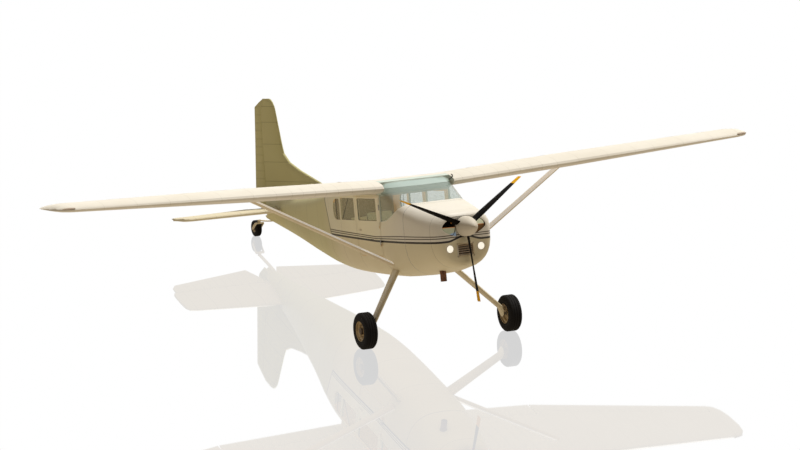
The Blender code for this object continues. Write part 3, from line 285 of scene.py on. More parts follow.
def makeWeaveGroup():
    tree, given, result = newGroup(
        "wovenCloth",
        (("Colour", "Color", (0.8, 0.8, 0.8, 1.0)), ("Thread Colour", "Color", (0.6, 0.6, 0.6, 1.0)),
         ("Pitch", "Float", 0.004), ("Roughness", "Float", 0.85)),
        (("Colour", "Color"), ("Roughness", "Float"), ("Height", "Float")))
    split = addNode(tree, "SeparateXYZ", {"Vector": addNode(tree, "TexCoord").outputs["Object"]})
    across = split.outputs["X"]
    along = plus(tree, split.outputs["Y"], split.outputs["Z"])
    turns = calc(tree, "DIVIDE", math.tau, given["Pitch"])
    warp = calc(tree, "SINE", times(tree, across, turns))
    weft = calc(tree, "SINE", times(tree, along, turns))
    height = calc(tree, "MULTIPLY_ADD", times(tree, warp, weft), 0.5, 0.5)
    slow = addNode(tree, "TexNoise", {"Scale": 9.0, "Detail": 3.0}).outputs["Fac"]
    blend = calc(tree, "MULTIPLY_ADD", height, 0.55, times(tree, slow, 0.45))
    tree.links.new(mixColours(tree, blend, given["Thread Colour"], given["Colour"]), result["Colour"])
    tree.links.new(calc(tree, "MULTIPLY_ADD", height, -0.1, given["Roughness"]), result["Roughness"])
    tree.links.new(height, result["Height"])
    return tree


grainGroup = makeGrainGroup()
weaveGroup = makeWeaveGroup()


# lines and paint zones of the fuselage, in level metres
livery = {
    "cream": srgb(231, 225, 212),
    "olive": srgb(223, 212, 181),
    "rearOlive": srgb(203, 196, 146),
    "cabinCream": srgb(233, 227, 201),
    "finOlive": srgb(197, 190, 136),
    "rearReach": (3.2, 4.0),
    "cabinReach": (1.0, 2.1),
    "line": srgb(34, 28, 24),
    "thinLine": srgb(66, 56, 48),
    "breaks": (0.12, 1.10, 1.94, 3.61),
    "blackLine": (-0.197, 0.004, 0.008, 0.071),
    "upperThin": (-0.112, 0.004, -0.015, 0.080),
    "lowerThin": (-0.142, -0.004, -0.003, 0.073),
    "blackHalf": 0.0145,
    "thinHalf": 0.0068,
    "noseRise": 0.060,
    "noseRiseReach": (0.02, 0.27),
    "edgeTop": (3.80, 0.40),
    "edgeFoot": (3.61, -0.12),
    "edgeHalf": 0.013,
    "hatchPitch": 0.045,
    "hatchFrom": 2.60,
    "frames": (0.262, 0.951, 1.735, 2.608, 3.16, 3.642, 4.25, 4.86, 5.48, 6.10, 6.66),
    "seamHalf": 0.0026,
}


def lineHeight(tree, y, look, key):  # height of a stripe that rises or falls over three stretches
    start, *rises = look[key]
    height = start
    for near, far, rise in zip(look["breaks"], look["breaks"][1:], rises):
        height = plus(tree, height, spread(tree, y, near, far, 0.0, rise))
    return height


def makeLiveryGroup(look):
    tree, given, result = newGroup(
        "fuselageLivery", (("Cream", "Color", look["cream"]), ("Olive", "Color", look["olive"])),
        (("Colour", "Color"), ("Seam", "Float")))
    x, y, z = levelPoint(tree)
    aside = magnitude(tree, x)
    low, high = look["noseRiseReach"]
    noseRise = times(tree, spread(tree, aside, low, high, 1.0, 0.0, "SMOOTHSTEP"), look["noseRise"])
    blackZ = plus(tree, lineHeight(tree, y, look, "blackLine"), noseRise)
    overBlack = minus(tree, z, blackZ)
    slope = (look["edgeTop"][0] - look["edgeFoot"][0]) / (look["edgeTop"][1] - look["edgeFoot"][1])
    edgeY = calc(tree, "MULTIPLY_ADD", minus(tree, z, look["edgeFoot"][1]), slope, look["edgeFoot"][0])
    ahead = minus(tree, edgeY, y)
    isAhead = spread(tree, ahead, -0.004, 0.004)
    creamZone = times(tree, spread(tree, overBlack, -0.003, 0.003), isAhead)
    # the olive darkens towards the tail: olive paint with painted shade laid over the rear sides
    olive = mixColours(tree, spread(tree, y, *look["rearReach"]), given["Olive"], look["rearOlive"])
    cream = mixColours(tree, spread(tree, y, *look["cabinReach"]), given["Cream"], look["cabinCream"])
    colour = mixColours(tree, creamZone, olive, cream)

    upper = minus(tree, z, lineHeight(tree, y, look, "upperThin"))
    lower = minus(tree, z, lineHeight(tree, y, look, "lowerThin"))
    between = times(tree, spread(tree, upper, 0.002, -0.002), spread(tree, lower, -0.002, 0.002))
    hatch = calc(tree, "PINGPONG", plus(tree, y, z), look["hatchPitch"] / 2)
    hatchShare = times(tree, spread(tree, hatch, 0.007, 0.011), spread(tree, y, look["hatchFrom"], 3.0))
    hatched = times(tree, times(tree, between, hatchShare), times(tree, isAhead, 0.30))
    colour = mixColours(tree, hatched, colour, look["thinLine"])
    thin = calc(tree, "MAXIMUM", lineAt(tree, magnitude(tree, upper), look["thinHalf"]),
                lineAt(tree, magnitude(tree, lower), look["thinHalf"]))
    edge = lineAt(tree, magnitude(tree, ahead), look["edgeHalf"])
    edge = times(tree, edge, spread(tree, overBlack, -0.01, 0.01))
    colour = mixColours(tree, times(tree, thin, isAhead), colour, look["thinLine"])
    colour = mixColours(tree, times(tree, edge, 0.85), colour, look["thinLine"])
    black = times(tree, lineAt(tree, magnitude(tree, overBlack), look["blackHalf"], 0.15), isAhead)
    colour = mixColours(tree, black, colour, look["line"])

    seam = lineAt(tree, nearest(tree, y, look["frames"]), look["seamHalf"])
    colour = mixColours(tree, times(tree, seam, 0.5), colour, srgb(70, 60, 45))
    tree.links.new(colour, result["Colour"])
    tree.links.new(seam, result["Seam"])
    return tree


liveryGroup = makeLiveryGroup(livery)


def linkFinish(tree, shader, finish):  # a group's colour and roughness; its height is left for the bump
    tree.links.new(finish["Colour"], shader.inputs["Base Color"])
    tree.links.new(finish["Roughness"], shader.inputs["Roughness"])
    return finish["Height"]


def wear(tree, shader, colour, patch, amount, patchSize, roughness, grainSize=0.012, swing=0.16):
    return linkFinish(tree, shader, placeGroup(tree, grainGroup, {
        "Colour": colour, "Patch Colour": patch, "Patch Amount": amount, "Patch Size": patchSize,
        "Grain Size": grainSize, "Roughness": roughness, "Roughness Swing": swing}))


def emboss(tree, shader, height, strength, depth):
    bump = addNode(tree, "Bump", {"Height": height, "Strength": strength, "Distance": depth})
    tree.links.new(bump.outputs["Normal"], shader.inputs["Normal"])


def seamHeight(tree, grain, seam, rise=-1.0):  # faint grain with seams sunk into it, or beads raised on it
    return calc(tree, "MULTIPLY_ADD", seam, rise, times(tree, grain, 0.04))


def paintedHull():
    made, tree, shader = makeMaterial("fuselagePaint", Specular_IOR_Level=0.3)
    drawn = placeGroup(tree, liveryGroup)
    grain = wear(tree, shader, drawn["Colour"], srgb(196, 182, 146), amount=0.16, patchSize=0.7,
                 roughness=0.50)
    emboss(tree, shader, seamHeight(tree, grain, drawn["Seam"]), 0.4, 0.002)
    return made


# paint with ribs or panel seams: distances come from one of the level coordinates
def paintedPanels(name, colour, axis, seams, halfWidth, depth, seamShade=0.45, bead=False):
    made, tree, shader = makeMaterial(name, Specular_IOR_Level=0.2)
    coordinate = levelPoint(tree)["xyz".index(axis)]
    if axis == "x":
        coordinate = magnitude(tree, coordinate)
    if isinstance(seams, tuple):
        distance = nearest(tree, coordinate, seams)
    else:
        distance = calc(tree, "PINGPONG", coordinate, seams / 2)
    seam = lineAt(tree, distance, halfWidth, 0.9 if bead else 0.35)
    shaded = mixColours(tree, times(tree, seam, seamShade), colour, srgb(92, 80, 62))
    grain = wear(tree, shader, shaded, srgb(190, 176, 146), amount=0.10, patchSize=0.8, roughness=0.58)
    emboss(tree, shader, seamHeight(tree, grain, seam, 1.0 if bead else -1.0), 0.5, depth)
    return made


# a plain finish with patches and grain
def grained(name, colour, patch, roughness, amount=0.35, patchSize=0.08, grainSize=0.003, bumpDepth=0.0006,
            **constants):
    made, tree, shader = makeMaterial(name, **constants)
    grain = wear(tree, shader, srgb(*colour), srgb(*patch), amount, patchSize, roughness, grainSize, 0.12)
    emboss(tree, shader, grain, 0.35, bumpDepth)
    return made


def woven(name, colour, thread, pitch, roughness=0.85, depth=0.0008, **constants):
    made, tree, shader = makeMaterial(name, Sheen_Weight=0.25, Sheen_Roughness=0.5, **constants)
    height = linkFinish(tree, shader, placeGroup(tree, weaveGroup, {
        "Colour": srgb(*colour), "Thread Colour": srgb(*thread), "Pitch": pitch, "Roughness": roughness}))
    emboss(tree, shader, height, 0.5, depth)
    return made


def tintedGlass(name, colour, alpha, band=None):
    made, tree, shader = makeMaterial(name, IOR=1.5)
    grain = wear(tree, shader, srgb(*colour), srgb(214, 224, 216), amount=0.25, patchSize=0.35,
                 roughness=0.04, grainSize=0.02, swing=0.05)
    clear = calc(tree, "MULTIPLY_ADD", grain, 0.03, alpha - 0.015)
    if band is not None:
        shade = spread(tree, levelPoint(tree)[2], band - 0.004, band + 0.004)
        clear = calc(tree, "MAXIMUM", clear, times(tree, shade, 0.80))
    tree.links.new(clear, shader.inputs["Alpha"])
    return made


# black blade with its last stretch yellow
bladeLook = {"black": srgb(12, 9, 7), "yellow": srgb(238, 178, 24), "yellowFrom": 0.930}


def paintedBlade(look):
    made, tree, shader = makeMaterial("bladePaint", Specular_IOR_Level=0.03)
    x, _, z = levelPoint(tree)
    radius = calc(tree, "SQRT", plus(tree, times(tree, x, x), times(tree, z, z)))
    tip = spread(tree, radius, look["yellowFrom"] - 0.001, look["yellowFrom"] + 0.001)
    wear(tree, shader, mixColours(tree, tip, look["black"], look["yellow"]), srgb(44, 38, 30), amount=0.18,
         patchSize=0.12, roughness=0.55, grainSize=0.004, swing=0.2)
    return made


# cream roof whose front is tinted like the band at the top of the windscreen
roofLook = {"tint": srgb(204, 216, 206), "tintTo": 1.80, "edge": 0.004}


def paintedRoof(look):
    made, tree, shader = makeMaterial("roofPaint", Specular_IOR_Level=0.2)
    back = levelPoint(tree)[1]
    tint = spread(tree, back, look["tintTo"] + look["edge"], look["tintTo"] - look["edge"])
    edge = lineAt(tree, nearest(tree, back, (look["tintTo"],)), look["edge"])
    colour = mixColours(tree, tint, livery["cream"], look["tint"])
    colour = mixColours(tree, times(tree, edge, 0.35), colour, livery["thinLine"])
    grain = wear(tree, shader, colour, srgb(190, 182, 160), amount=0.08, patchSize=0.6, roughness=0.55)
    emboss(tree, shader, seamHeight(tree, grain, edge), 0.4, 0.0015)
    return made


# struts with a painted highlight: the upper half is painted paler than the lower and glows faintly, standing
# in for light on their tops
strutHighlightLook = {"slope": 0.575, "foot": -0.8075, "upper": srgb(240, 234, 222), "lower": srgb(222, 208, 180),
             "shine": srgb(196, 193, 190), "glow": 0.5}


def strutWithPaintedHighlight(look):
    made, tree, shader = makeMaterial("strutPaint", Specular_IOR_Level=0.2, Emission_Strength=look["glow"])
    x, _, z = levelPoint(tree)
    middle = calc(tree, "MULTIPLY_ADD", magnitude(tree, x), look["slope"], look["foot"])
    # painted highlight: the upper half takes the paler colour and a faint glow
    top = spread(tree, minus(tree, z, middle), -0.002, 0.004)
    wear(tree, shader, mixColours(tree, top, look["lower"], look["upper"]), srgb(196, 182, 152), amount=0.2,
         patchSize=0.4, roughness=0.42, grainSize=0.004, swing=0.12)
    tree.links.new(mixColours(tree, top, srgb(0, 0, 0), look["shine"]), shader.inputs["Emission Color"])
    return made


wingRibs = (0.69, 0.87, 1.04, 1.26, 1.44, 1.61, 1.80, 1.97, 2.21, 2.56, 3.04, 3.50, 3.81, 4.30, 4.79, 5.24)
hullPaint = paintedHull()
wingPaint = paintedPanels("wingPaint", livery["cream"], "x", wingRibs, 0.0028, 0.0015, seamShade=0.20)
roofPaint = paintedRoof(roofLook)
flapPaint = paintedPanels("flapPaint", livery["cream"], "x", 0.16, 0.011, 0.006, seamShade=0.05, bead=True)
finPaint = paintedPanels("finPaint", livery["finOlive"], "z", (0.58, 0.875, 1.146, 1.48, 1.72), 0.004, 0.002)
rudderPaint = paintedPanels("rudderPaint", livery["finOlive"], "z", 0.1228, 0.010, 0.003, seamShade=0.14,
                            bead=True)
tailCream = srgb(218, 207, 178)
tailPaint = paintedPanels("tailplanePaint", tailCream, "x", (0.42, 0.80, 1.18, 1.50), 0.0035, 0.0015,
                          seamShade=0.3)
elevatorPaint = paintedPanels("elevatorPaint", tailCream, "x", 0.125, 0.010, 0.005, seamShade=0.1, bead=True)
strutPaint = strutWithPaintedHighlight(strutHighlightLook)
handlePaint = grained("handlePaint", (228, 220, 200), (188, 172, 140), 0.4, patchSize=0.2)
legPaint = grained("legPaint", (212, 199, 168), (170, 154, 120), 0.42, patchSize=0.2)
spinnerPaint = grained("spinnerPaint", (210, 202, 186), (186, 174, 152), 0.6, amount=0.2, patchSize=0.2,
                       Specular_IOR_Level=0.2)
glass = tintedGlass("windowGlass", (170, 186, 170), 0.26)
screenGlass = tintedGlass("screenGlass", (188, 208, 200), 0.29, band=0.572)
screenTrim = grained("screenTrim", (206, 214, 202), (186, 194, 180), 0.5, amount=0.3)
bladePaint = paintedBlade(bladeLook)
rubber = grained("tyreRubber", (14, 11, 9), (30, 26, 21), 0.82, amount=0.35, patchSize=0.05,
                 grainSize=0.0015, bumpDepth=0.0005, Specular_IOR_Level=0.15)
darkRubber = grained("sealRubber", (38, 35, 31), (60, 55, 48), 0.7, amount=0.3)
rimPaint = grained("rimPaint", (158, 134, 92), (98, 78, 50), 0.45, amount=0.5, patchSize=0.06, Metallic=0.3)
steel = grained("bareSteel", (150, 148, 142), (96, 90, 82), 0.38, amount=0.4, Metallic=0.85)
darkSteel = grained("darkSteel", (70, 66, 60), (40, 36, 32), 0.5, amount=0.5, Metallic=0.7)
rust = grained("rustedPipe", (122, 82, 58), (62, 38, 26), 0.75, amount=0.8, patchSize=0.03, Metallic=0.35)
louvrePaint = grained("louvrePaint", (82, 68, 54), (46, 38, 30), 0.6, amount=0.4)
# inlet sheets glow faintly: painted light standing in for light inside the shaded inlets
ductPaint = grained("ductPaint", (160, 158, 136), (120, 118, 100), 0.6, amount=0.4,
                    Emission_Color=srgb(130, 130, 105), Emission_Strength=0.7)
engineIron = grained("engineIron", (52, 42, 32), (28, 22, 16), 0.65, amount=0.5, Metallic=0.4)
panelBlack = grained("panelBlack", (38, 38, 37), (60, 58, 54), 0.6, amount=0.3, grainSize=0.0012)
dialWhite = grained("dialWhite", (226, 224, 214), (200, 196, 184), 0.5, amount=0.3)
hubBrown = grained("hubBrown", (74, 56, 36), (44, 32, 20), 0.5, amount=0.5, patchSize=0.03, Metallic=0.4)
lampLens = grained("lampLens", (240, 236, 224), (222, 216, 200), 0.15, amount=0.2, patchSize=0.03,
                   Emission_Color=srgb(255, 250, 236), Emission_Strength=0.70)
# glows faintly: painted light inside the shaded inlet
paleDuct = grained("paleDuct", (206, 208, 184), (176, 178, 156), 0.6, amount=0.3,
                   Emission_Color=srgb(166, 167, 141), Emission_Strength=0.8)
# painted shade: a dark brown sheet where the inlet lies in shade, with a faint glow of painted light
brownSheet = grained("brownSheet", (90, 64, 34), (70, 48, 24), 0.6, amount=0.4,
                     Emission_Color=srgb(78, 54, 24), Emission_Strength=0.7)
slatPaint = grained("slatPaint", (206, 186, 162), (150, 132, 112), 0.5, amount=0.4)
grillePaint = grained("grillePaint", (206, 188, 154), (170, 152, 120), 0.5, amount=0.4)
# glows faintly: painted light inside the shaded inlet
coolerBlue = grained("coolerBlue", (150, 166, 176), (110, 124, 134), 0.5, amount=0.3,
                     Emission_Color=srgb(110, 125, 140), Emission_Strength=0.75)
# glows faintly: painted light inside the shaded inlet
glowingCopperSheet = grained("glowingCopperSheet", (178, 112, 58), (126, 76, 40), 0.45, amount=0.4,
                      Emission_Color=srgb(176, 104, 40), Emission_Strength=0.6)
tipLampGlass = grained("tipLampGlass", (176, 158, 138), (140, 122, 104), 0.35, amount=0.3,
                       Specular_IOR_Level=0.2)
chrome = grained("brightTrim", (206, 204, 198), (150, 146, 138), 0.22, amount=0.3, Metallic=0.95)
# seat cloth and cabin lining glow faintly: painted light standing in for light inside the cabin
seatCloth = woven("seatCloth", (206, 198, 164), (170, 162, 126), 0.0045,
                  Emission_Color=srgb(150, 156, 118), Emission_Strength=0.34)
seatEdge = woven("seatPiping", (150, 128, 92), (112, 92, 62), 0.003)
glowingLiningCloth = woven("glowingLiningCloth", (206, 168, 112), (176, 138, 88), 0.006,
                    Emission_Color=srgb(196, 152, 88), Emission_Strength=0.42)
benchPaint = grained("benchPaint", (120, 104, 76), (92, 78, 56), 0.6, amount=0.4)
carpet = woven("carpetCloth", (158, 136, 100), (118, 98, 70), 0.009, 0.95, 0.002)
print("materials ready")


# making pieces: everything is drawn in the level frame and then set in its place
def levelMesh(name):  # a solid's merged mesh in the level frame
    bm = bmesh.new()
    bm.from_mesh(nodes[name].data)
    bmesh.ops.transform(bm, matrix=rowToLevel, verts=bm.verts)
    bmesh.ops.remove_doubles(bm, verts=bm.verts, dist=0.00002)
    return bm


def levelBox(name):  # a solid's lowest and highest corner in the level frame
    bm = levelMesh(name)
    low = Vector([min(vert.co[axis] for vert in bm.verts) for axis in range(3)])
    high = Vector([max(vert.co[axis] for vert in bm.verts) for axis in range(3)])
    bm.free()
    return low, high


skins = {}  # surfaces of the solids, each made when it is first asked for


def skinPoint(name, start, towards):  # where a line meets a solid, and which way it faces there
    if name not in skins:
        bm = levelMesh(name)
        skins[name] = BVHTree.FromBMesh(bm)
        bm.free()
    place, facing, _, _ = skins[name].ray_cast(Vector(start), Vector(towards).normalized())
    return place, facing


def finishPiece(name, bm, looks, body="airframe", stands=(), smooth=35.0, recalculate=True):
    bmesh.ops.remove_doubles(bm, verts=bm.verts, dist=0.00001)
    if recalculate:
        bmesh.ops.recalc_face_normals(bm, faces=bm.faces)
    bmesh.ops.transform(bm, matrix=levelToRow, verts=bm.verts)
    bm.normal_update()
    for face in bm.faces:
        face.smooth = True
    for edge in bm.edges:
        edge.smooth = edge.calc_face_angle(0.0) < math.radians(smooth)
    mesh = bpy.data.meshes.new(name)
    bm.to_mesh(mesh)
    bm.free()
    for look in looks if isinstance(looks, list) else [looks]:
        mesh.materials.append(look)
    piece = addObject(name, mesh)
    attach(piece, body)
    if stands:
        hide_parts(*stands)
    return piece


def camel(name):
    first, *rest = name.split("_")
    return first + "".join(word.capitalize() for word in rest)


def facesInwards(face, heart):  # true where a hull face looks at the cabin's middle line
    middle = face.calc_center_median()
    out = Vector((middle.x, 0.0, middle.z - heart)).normalized()
    return face.normal.dot(out) < -0.3


def gather(*forms):  # several bmeshes as one
    whole = bmesh.new()
    for form in forms:
        mesh = bpy.data.meshes.new("form")
        form.to_mesh(mesh)
        form.free()
        whole.from_mesh(mesh)
        bpy.data.meshes.remove(mesh)
    return whole


def facingTurn(direction):  # turns +z to a direction
    return direction.to_track_quat("Z", "Y").to_matrix().to_4x4()


def turned(profile, centre, axis, steps=48):  # radius and distance pairs turned about an axis
    bm = bmesh.new()
    points = [bm.verts.new((radius, 0.0, along)) for radius, along in profile]
    edges = [bm.edges.new(pair) for pair in zip(points, points[1:])]
    bmesh.ops.spin(bm, geom=points + edges, cent=(0, 0, 0), axis=(0, 0, 1), angle=math.tau, steps=steps,
                   use_merge=True)
    bmesh.ops.remove_doubles(bm, verts=bm.verts, dist=0.000005)
    place = Matrix.Translation(centre) @ facingTurn(Vector(axis).normalized())
    bmesh.ops.transform(bm, matrix=place, verts=bm.verts)
    return bm


def rod(start, end, radius, steps=20, lip=0.0):  # a round bar with softened ends
    span = Vector(end) - Vector(start)
    reach = span.length
    profile = ((0, 0), (radius - lip, 0), (radius, lip), (radius, reach - lip), (radius - lip, reach),
               (0, reach))
    return turned(profile, start, span, steps)


def block(low, high, bevel=0.004, segments=2, turn=None):  # a box between two corners, edges rounded
    bm = bmesh.new()
    low, high = Vector(low), Vector(high)
    size = high - low
    place = Matrix.Translation((low + high) / 2)
    if turn:
        place = place @ turn
    bmesh.ops.create_cube(bm, size=1.0, matrix=place @ Matrix.Diagonal((*size, 1.0)))
    if bevel:
        bmesh.ops.bevel(bm, geom=bm.edges[:], offset=bevel, offset_type="OFFSET", affect="EDGES",
                        segments=segments, profile=0.5, material=-1, clamp_overlap=True)
    return bm


def tube(points, radius, sides=10, closed=False):  # a bent round bar through points
    bm = bmesh.new()
    points = [Vector(point) for point in points]
    count = len(points)
    loops = []
    for index, point in enumerate(points):
        before = points[index - 1] if closed or index else point
        after = points[(index + 1) % count] if closed or index < count - 1 else point
        place = Matrix.Translation(point) @ facingTurn(after - before)
        ring = bmesh.ops.create_circle(bm, segments=sides, radius=radius, matrix=place)
        loops.append(list({edge for vert in ring["verts"] for edge in vert.link_edges}))
    following = loops[1:] + (loops[:1] if closed else [])
    for near, far in zip(loops, following):
        bmesh.ops.bridge_loops(bm, edges=near + far)
    if not closed:
        bmesh.ops.holes_fill(bm, edges=loops[0] + loops[-1], sides=sides + 1)
    return bm


def tinted(bm, index):  # a form whose faces take one of its piece's materials
    for face in bm.faces:
        face.material_index = index
    return bm


def dressSolid(name, looks, smooth=30.0, heart=None, proud=0.0, slim=1.0):  # a smooth copy of a solid
    bm = levelMesh(name)
    bm.normal_update()
    for vert, outward in [(vert, vert.normal.copy()) for vert in bm.verts]:
        vert.co += outward * proud
    bmesh.ops.scale(bm, vec=(slim, 1.0, slim), verts=bm.verts)
    if heart is not None:
        for face in bm.faces:
            face.material_index = 1 if facesInwards(face, heart) else 0
    finishPiece(camel(name) + "Skin", bm, looks, bodyOfNode[name], (name,), smooth, recalculate=False)


# skins of the fuselage, wings and tail
cabinHeart = -0.10
fairing = {"strut": 0.014, "leg": 0.011, "spinner": 0.95}
panes = ("window_door_", "window_middle_", "window_rear_")
for name, slot in (("nose_bowl", "khaki_paint"), ("cowl", "cream_paint"), ("tailcone", "khaki_paint")):
    dressSolid(name, [hullPaint, louvrePaint], heart=cabinHeart if name != "tailcone" else None)
for name in ("cabin_shell", "door_left", "door_right"):
    dressSolid(name, [hullPaint, glowingLiningCloth], heart=cabinHeart)
for hand in ("left", "right"):
    dressSolid("wing_" + hand, wingPaint)
    dressSolid("flap_" + hand, flapPaint)
    dressSolid("aileron_" + hand, flapPaint)
    dressSolid("stabiliser_" + hand, tailPaint)
    dressSolid("elevator_" + hand, elevatorPaint)
    dressSolid("strut_" + hand, strutPaint, 50.0, proud=fairing["strut"])
    dressSolid("gear_leg_" + hand, legPaint, 50.0, proud=fairing["leg"])
    for pane in panes:
        dressSolid(pane + hand, glass)
dressSolid("wing_centre_section", roofPaint)
dressSolid("fin", finPaint)
dressSolid("rudder", rudderPaint)
dressSolid("windscreen", screenGlass, smooth=50.0)
dressSolid("spinner", spinnerPaint, slim=fairing["spinner"])
dressSolid("propeller", bladePaint)
for name, look in (("firewall", steel), ("engine_block", engineIron), ("cabin_floor", carpet),
                   ("axle_left", steel), ("axle_right", steel), ("tail_spring", legPaint),
                   ("tail_fork", legPaint), ("instrument_panel", panelBlack)):
    nodes[name].data.materials.clear()
    nodes[name].data.materials.append(look)
print("skins ready")


# tyres with moulded grooves, on rims with rings, bolts and a dark hub cap
wheelLook = {
    "narrow": 0.95,
    "sidewall": ((0.0, 0.86), (0.08, 0.96), (0.35, 1.0), (0.65, 0.98), (0.86, 0.88), (0.965, 0.74),
                 (1.0, 0.64)),
    "grooves": (0.40, 0.0, -0.40),
    "grooveHalf": 0.004,
    "grooveDepth": 0.006,
    "discReach": 0.93,
    "rimOver": 0.004,
    "rimFace": ((0.0, 0.62), (0.38, 0.62), (0.40, 0.54), (0.66, 0.50), (0.70, 0.64), (0.76, 0.72),
                (0.91, 0.78), (0.95, 0.97), (1.0, 1.0)),
    "cap": ((0.0, 0.98), (0.20, 0.98), (0.30, 0.92), (0.33, 0.84), (0.34, 0.55)),
    "bolts": 8,
    "boltAt": 0.53,
    "boltSeat": 0.52,
    "boltSize": 0.045,
}


def tyreForm(centre, radius, half, bead, look):
    wall = [(bead + (radius - bead) * up, half * aside) for up, aside in look["sidewall"]]
    tread = []
    for groove in look["grooves"]:
        middle, reach, depth = groove * half, look["grooveHalf"], look["grooveDepth"]
        tread += [(radius, middle + reach), (radius - depth, middle + reach * 0.6),
                  (radius - depth, middle - reach * 0.6), (radius, middle - reach)]
    far = [(up, -aside) for up, aside in reversed(wall)]
    return turned(wall + tread + far + wall[:1], centre, (1, 0, 0), 72)


def rimForm(centre, radius, half, outward, look):
    face = [(radius * up, half * along) for up, along in look["rimFace"]]
    back = [(up, -along) for up, along in reversed(face)]
    cap = [(radius * up, half * along) for up, along in look["cap"]]
    forms = [tinted(turned(face + back, centre, (outward, 0, 0), 56), 0),
             tinted(turned(cap, centre, (outward, 0, 0), 32), 1)]
    seat, size = half * look["boltSeat"], radius * look["boltSize"]
    for index in range(look["bolts"]):
        angle = math.tau * index / look["bolts"]
        spot = Vector((0.0, math.cos(angle), math.sin(angle))) * radius * look["boltAt"] + centre
        near, far = (spot + Vector((outward * reach, 0, 0)) for reach in (seat, seat + size))
        forms.append(tinted(rod(near, far, size, 6, size * 0.2), 1))
    return gather(*forms)


for wheel, outward in (("main_left", 1), ("main_right", -1), ("tail", -1)):
    tyre, rim = "tyre_" + wheel, "rim_" + wheel
    low, high = levelBox(tyre)
    rimLow, rimHigh = levelBox(rim)
    centre = (low + high) / 2
    radius, rimRadius = (high.z - low.z) / 2, (rimHigh.z - rimLow.z) / 2
    half = (high.x - low.x) / 2 * wheelLook["narrow"]
    form = tyreForm(centre, radius, half, rimRadius, wheelLook)
    finishPiece(camel(tyre) + "Tread", form, rubber, bodyOfNode[tyre], (tyre,))
    reach = half * wheelLook["discReach"]
    form = rimForm(centre, rimRadius + wheelLook["rimOver"], reach, outward, wheelLook)
    finishPiece(camel(rim) + "Disc", form, [rimPaint, hubBrown], bodyOfNode[rim], (rim,))
print("wheels ready")


# nose: lamps, grille, cooling inlets and exhaust
noseLook = {
    "lampRim": 0.009,
    "lensBulge": (0.8, 0.5, 0.25, 0.0),
    "grilleBar": 0.022,
    "slats": 5,
    "slatTurn": 38.0,
    "slatHalf": 0.003,
    "slatReach": (0.004, 0.028),
    "inletMiddle": (0.2265, -0.005),
    "inletHalf": (0.1115, 0.125),
    "ductFrom": 0.150,
    "ductTo": 0.262,
    "ductWall": ((1.10, 0.0), (0.98, 1.0), (0.95, 1.0), (1.06, 0.0), (1.10, 0.0)),
    "barrelMiddle": (0.362, -0.02),
    "barrelRadius": 0.098,
    "finPitch": 0.013,
    "barrelFrom": 0.115,
    "barrelTo": 0.350,
    "pipeWall": 0.006,
    "pipeBore": 0.07,
}


def lampPiece(hand, look):
    name = "landing_light_" + hand
    low, high = levelBox(name)
    radius, depth = (high.z - low.z) / 2, high.y - low.y
    inner = radius - look["lampRim"]
    centre = ((low.x + high.x) / 2, high.y, (low.z + high.z) / 2)
    ring = ((0, 0), (radius, 0), (radius, depth - 0.003), (radius - 0.003, depth), (inner, depth),
            (inner, depth - 0.006))
    lens = [(inner, depth - 0.006)]
    lens += [(inner * share, depth - 0.002 - 0.004 * share * share) for share in look["lensBulge"]]
    forms = [tinted(turned(profile, centre, (0, -1, 0), 48), index)
             for index, profile in enumerate((ring, lens))]
    finishPiece("noseLamp" + hand.capitalize(), gather(*forms), [spinnerPaint, lampLens],
                stands=(name,))


def grillePiece(look):
    low, high = levelBox("air_grille")
    bar = look["grilleBar"]
    front, back = look["slatReach"]
    inset = 0.002
    plate = block((low.x + inset, high.y - 0.010, low.z + inset),
                  (high.x - inset, high.y, high.z - inset), inset)
    forms = [tinted(plate, 3)]
    for bottom in (low.z, high.z - bar):
        edge = block((low.x, low.y, bottom), (high.x, high.y - inset, bottom + bar), 0.003)
        forms.append(tinted(edge, 0))
    # the starboard side bar takes the paler spinner paint: a painted highlight along that edge of the frame
    for index, side in enumerate((high.x - bar, low.x)):
        edge = block((side, low.y, low.z), (side + bar, high.y - inset, high.z), 0.003)
        forms.append(tinted(edge, index))
    room = (high.z - low.z - 2 * bar) / look["slats"]
    turn = Matrix.Rotation(math.radians(look["slatTurn"]), 4, "X")
    for index in range(look["slats"]):
        middle = low.z + bar + room * (index + 0.5)
        slat = block((low.x + bar, low.y + front, middle - look["slatHalf"]),
                     (high.x - bar, low.y + back, middle + look["slatHalf"]), 0.0015, 1, turn)
        forms.append(tinted(slat, 2))
    finishPiece("airGrilleFrame", gather(*forms), [grillePaint, spinnerPaint, slatPaint, engineIron],
                stands=("air_grille",))


def ductPiece(hand, side, look):
    across, height = look["inletMiddle"]
    halfAcross, halfHigh = look["inletHalf"]
    reach = look["ductTo"] - look["ductFrom"]
    bm = turned([(radius, reach * share) for radius, share in look["ductWall"]], (0, 0, 0), (0, 1, 0), 40)
    place = (Matrix.Translation((side * across, look["ductFrom"], height))
             @ Matrix.Diagonal((halfAcross, 1, halfHigh, 1)))
    bmesh.ops.transform(bm, matrix=place, verts=bm.verts)
    finishPiece("inletDuct" + hand, bm, engineIron)


def barrelPiece(hand, side, look):
    y, z = look["barrelMiddle"]
    radius, pitch = look["barrelRadius"], look["finPitch"]
    root = radius * 0.82
    along = look["barrelFrom"]
    profile = [(0.0, along)]
    while along < look["barrelTo"]:
        profile += [(radius, along), (radius, along + 0.003), (root, along + 0.004),
                    (root, along + pitch - 0.001)]
        along += pitch
    profile.append((0.0, along))
    form = turned(profile, (0, y, z), (side, 0, 0), 40)
    finishPiece("cylinderBarrel" + hand, form, engineIron)


for hand, side in (("Left", 1), ("Right", -1)):
    lampPiece(hand.lower(), noseLook)
    ductPiece(hand, side, noseLook)
    barrelPiece(hand, side, noseLook)
grillePiece(noseLook)
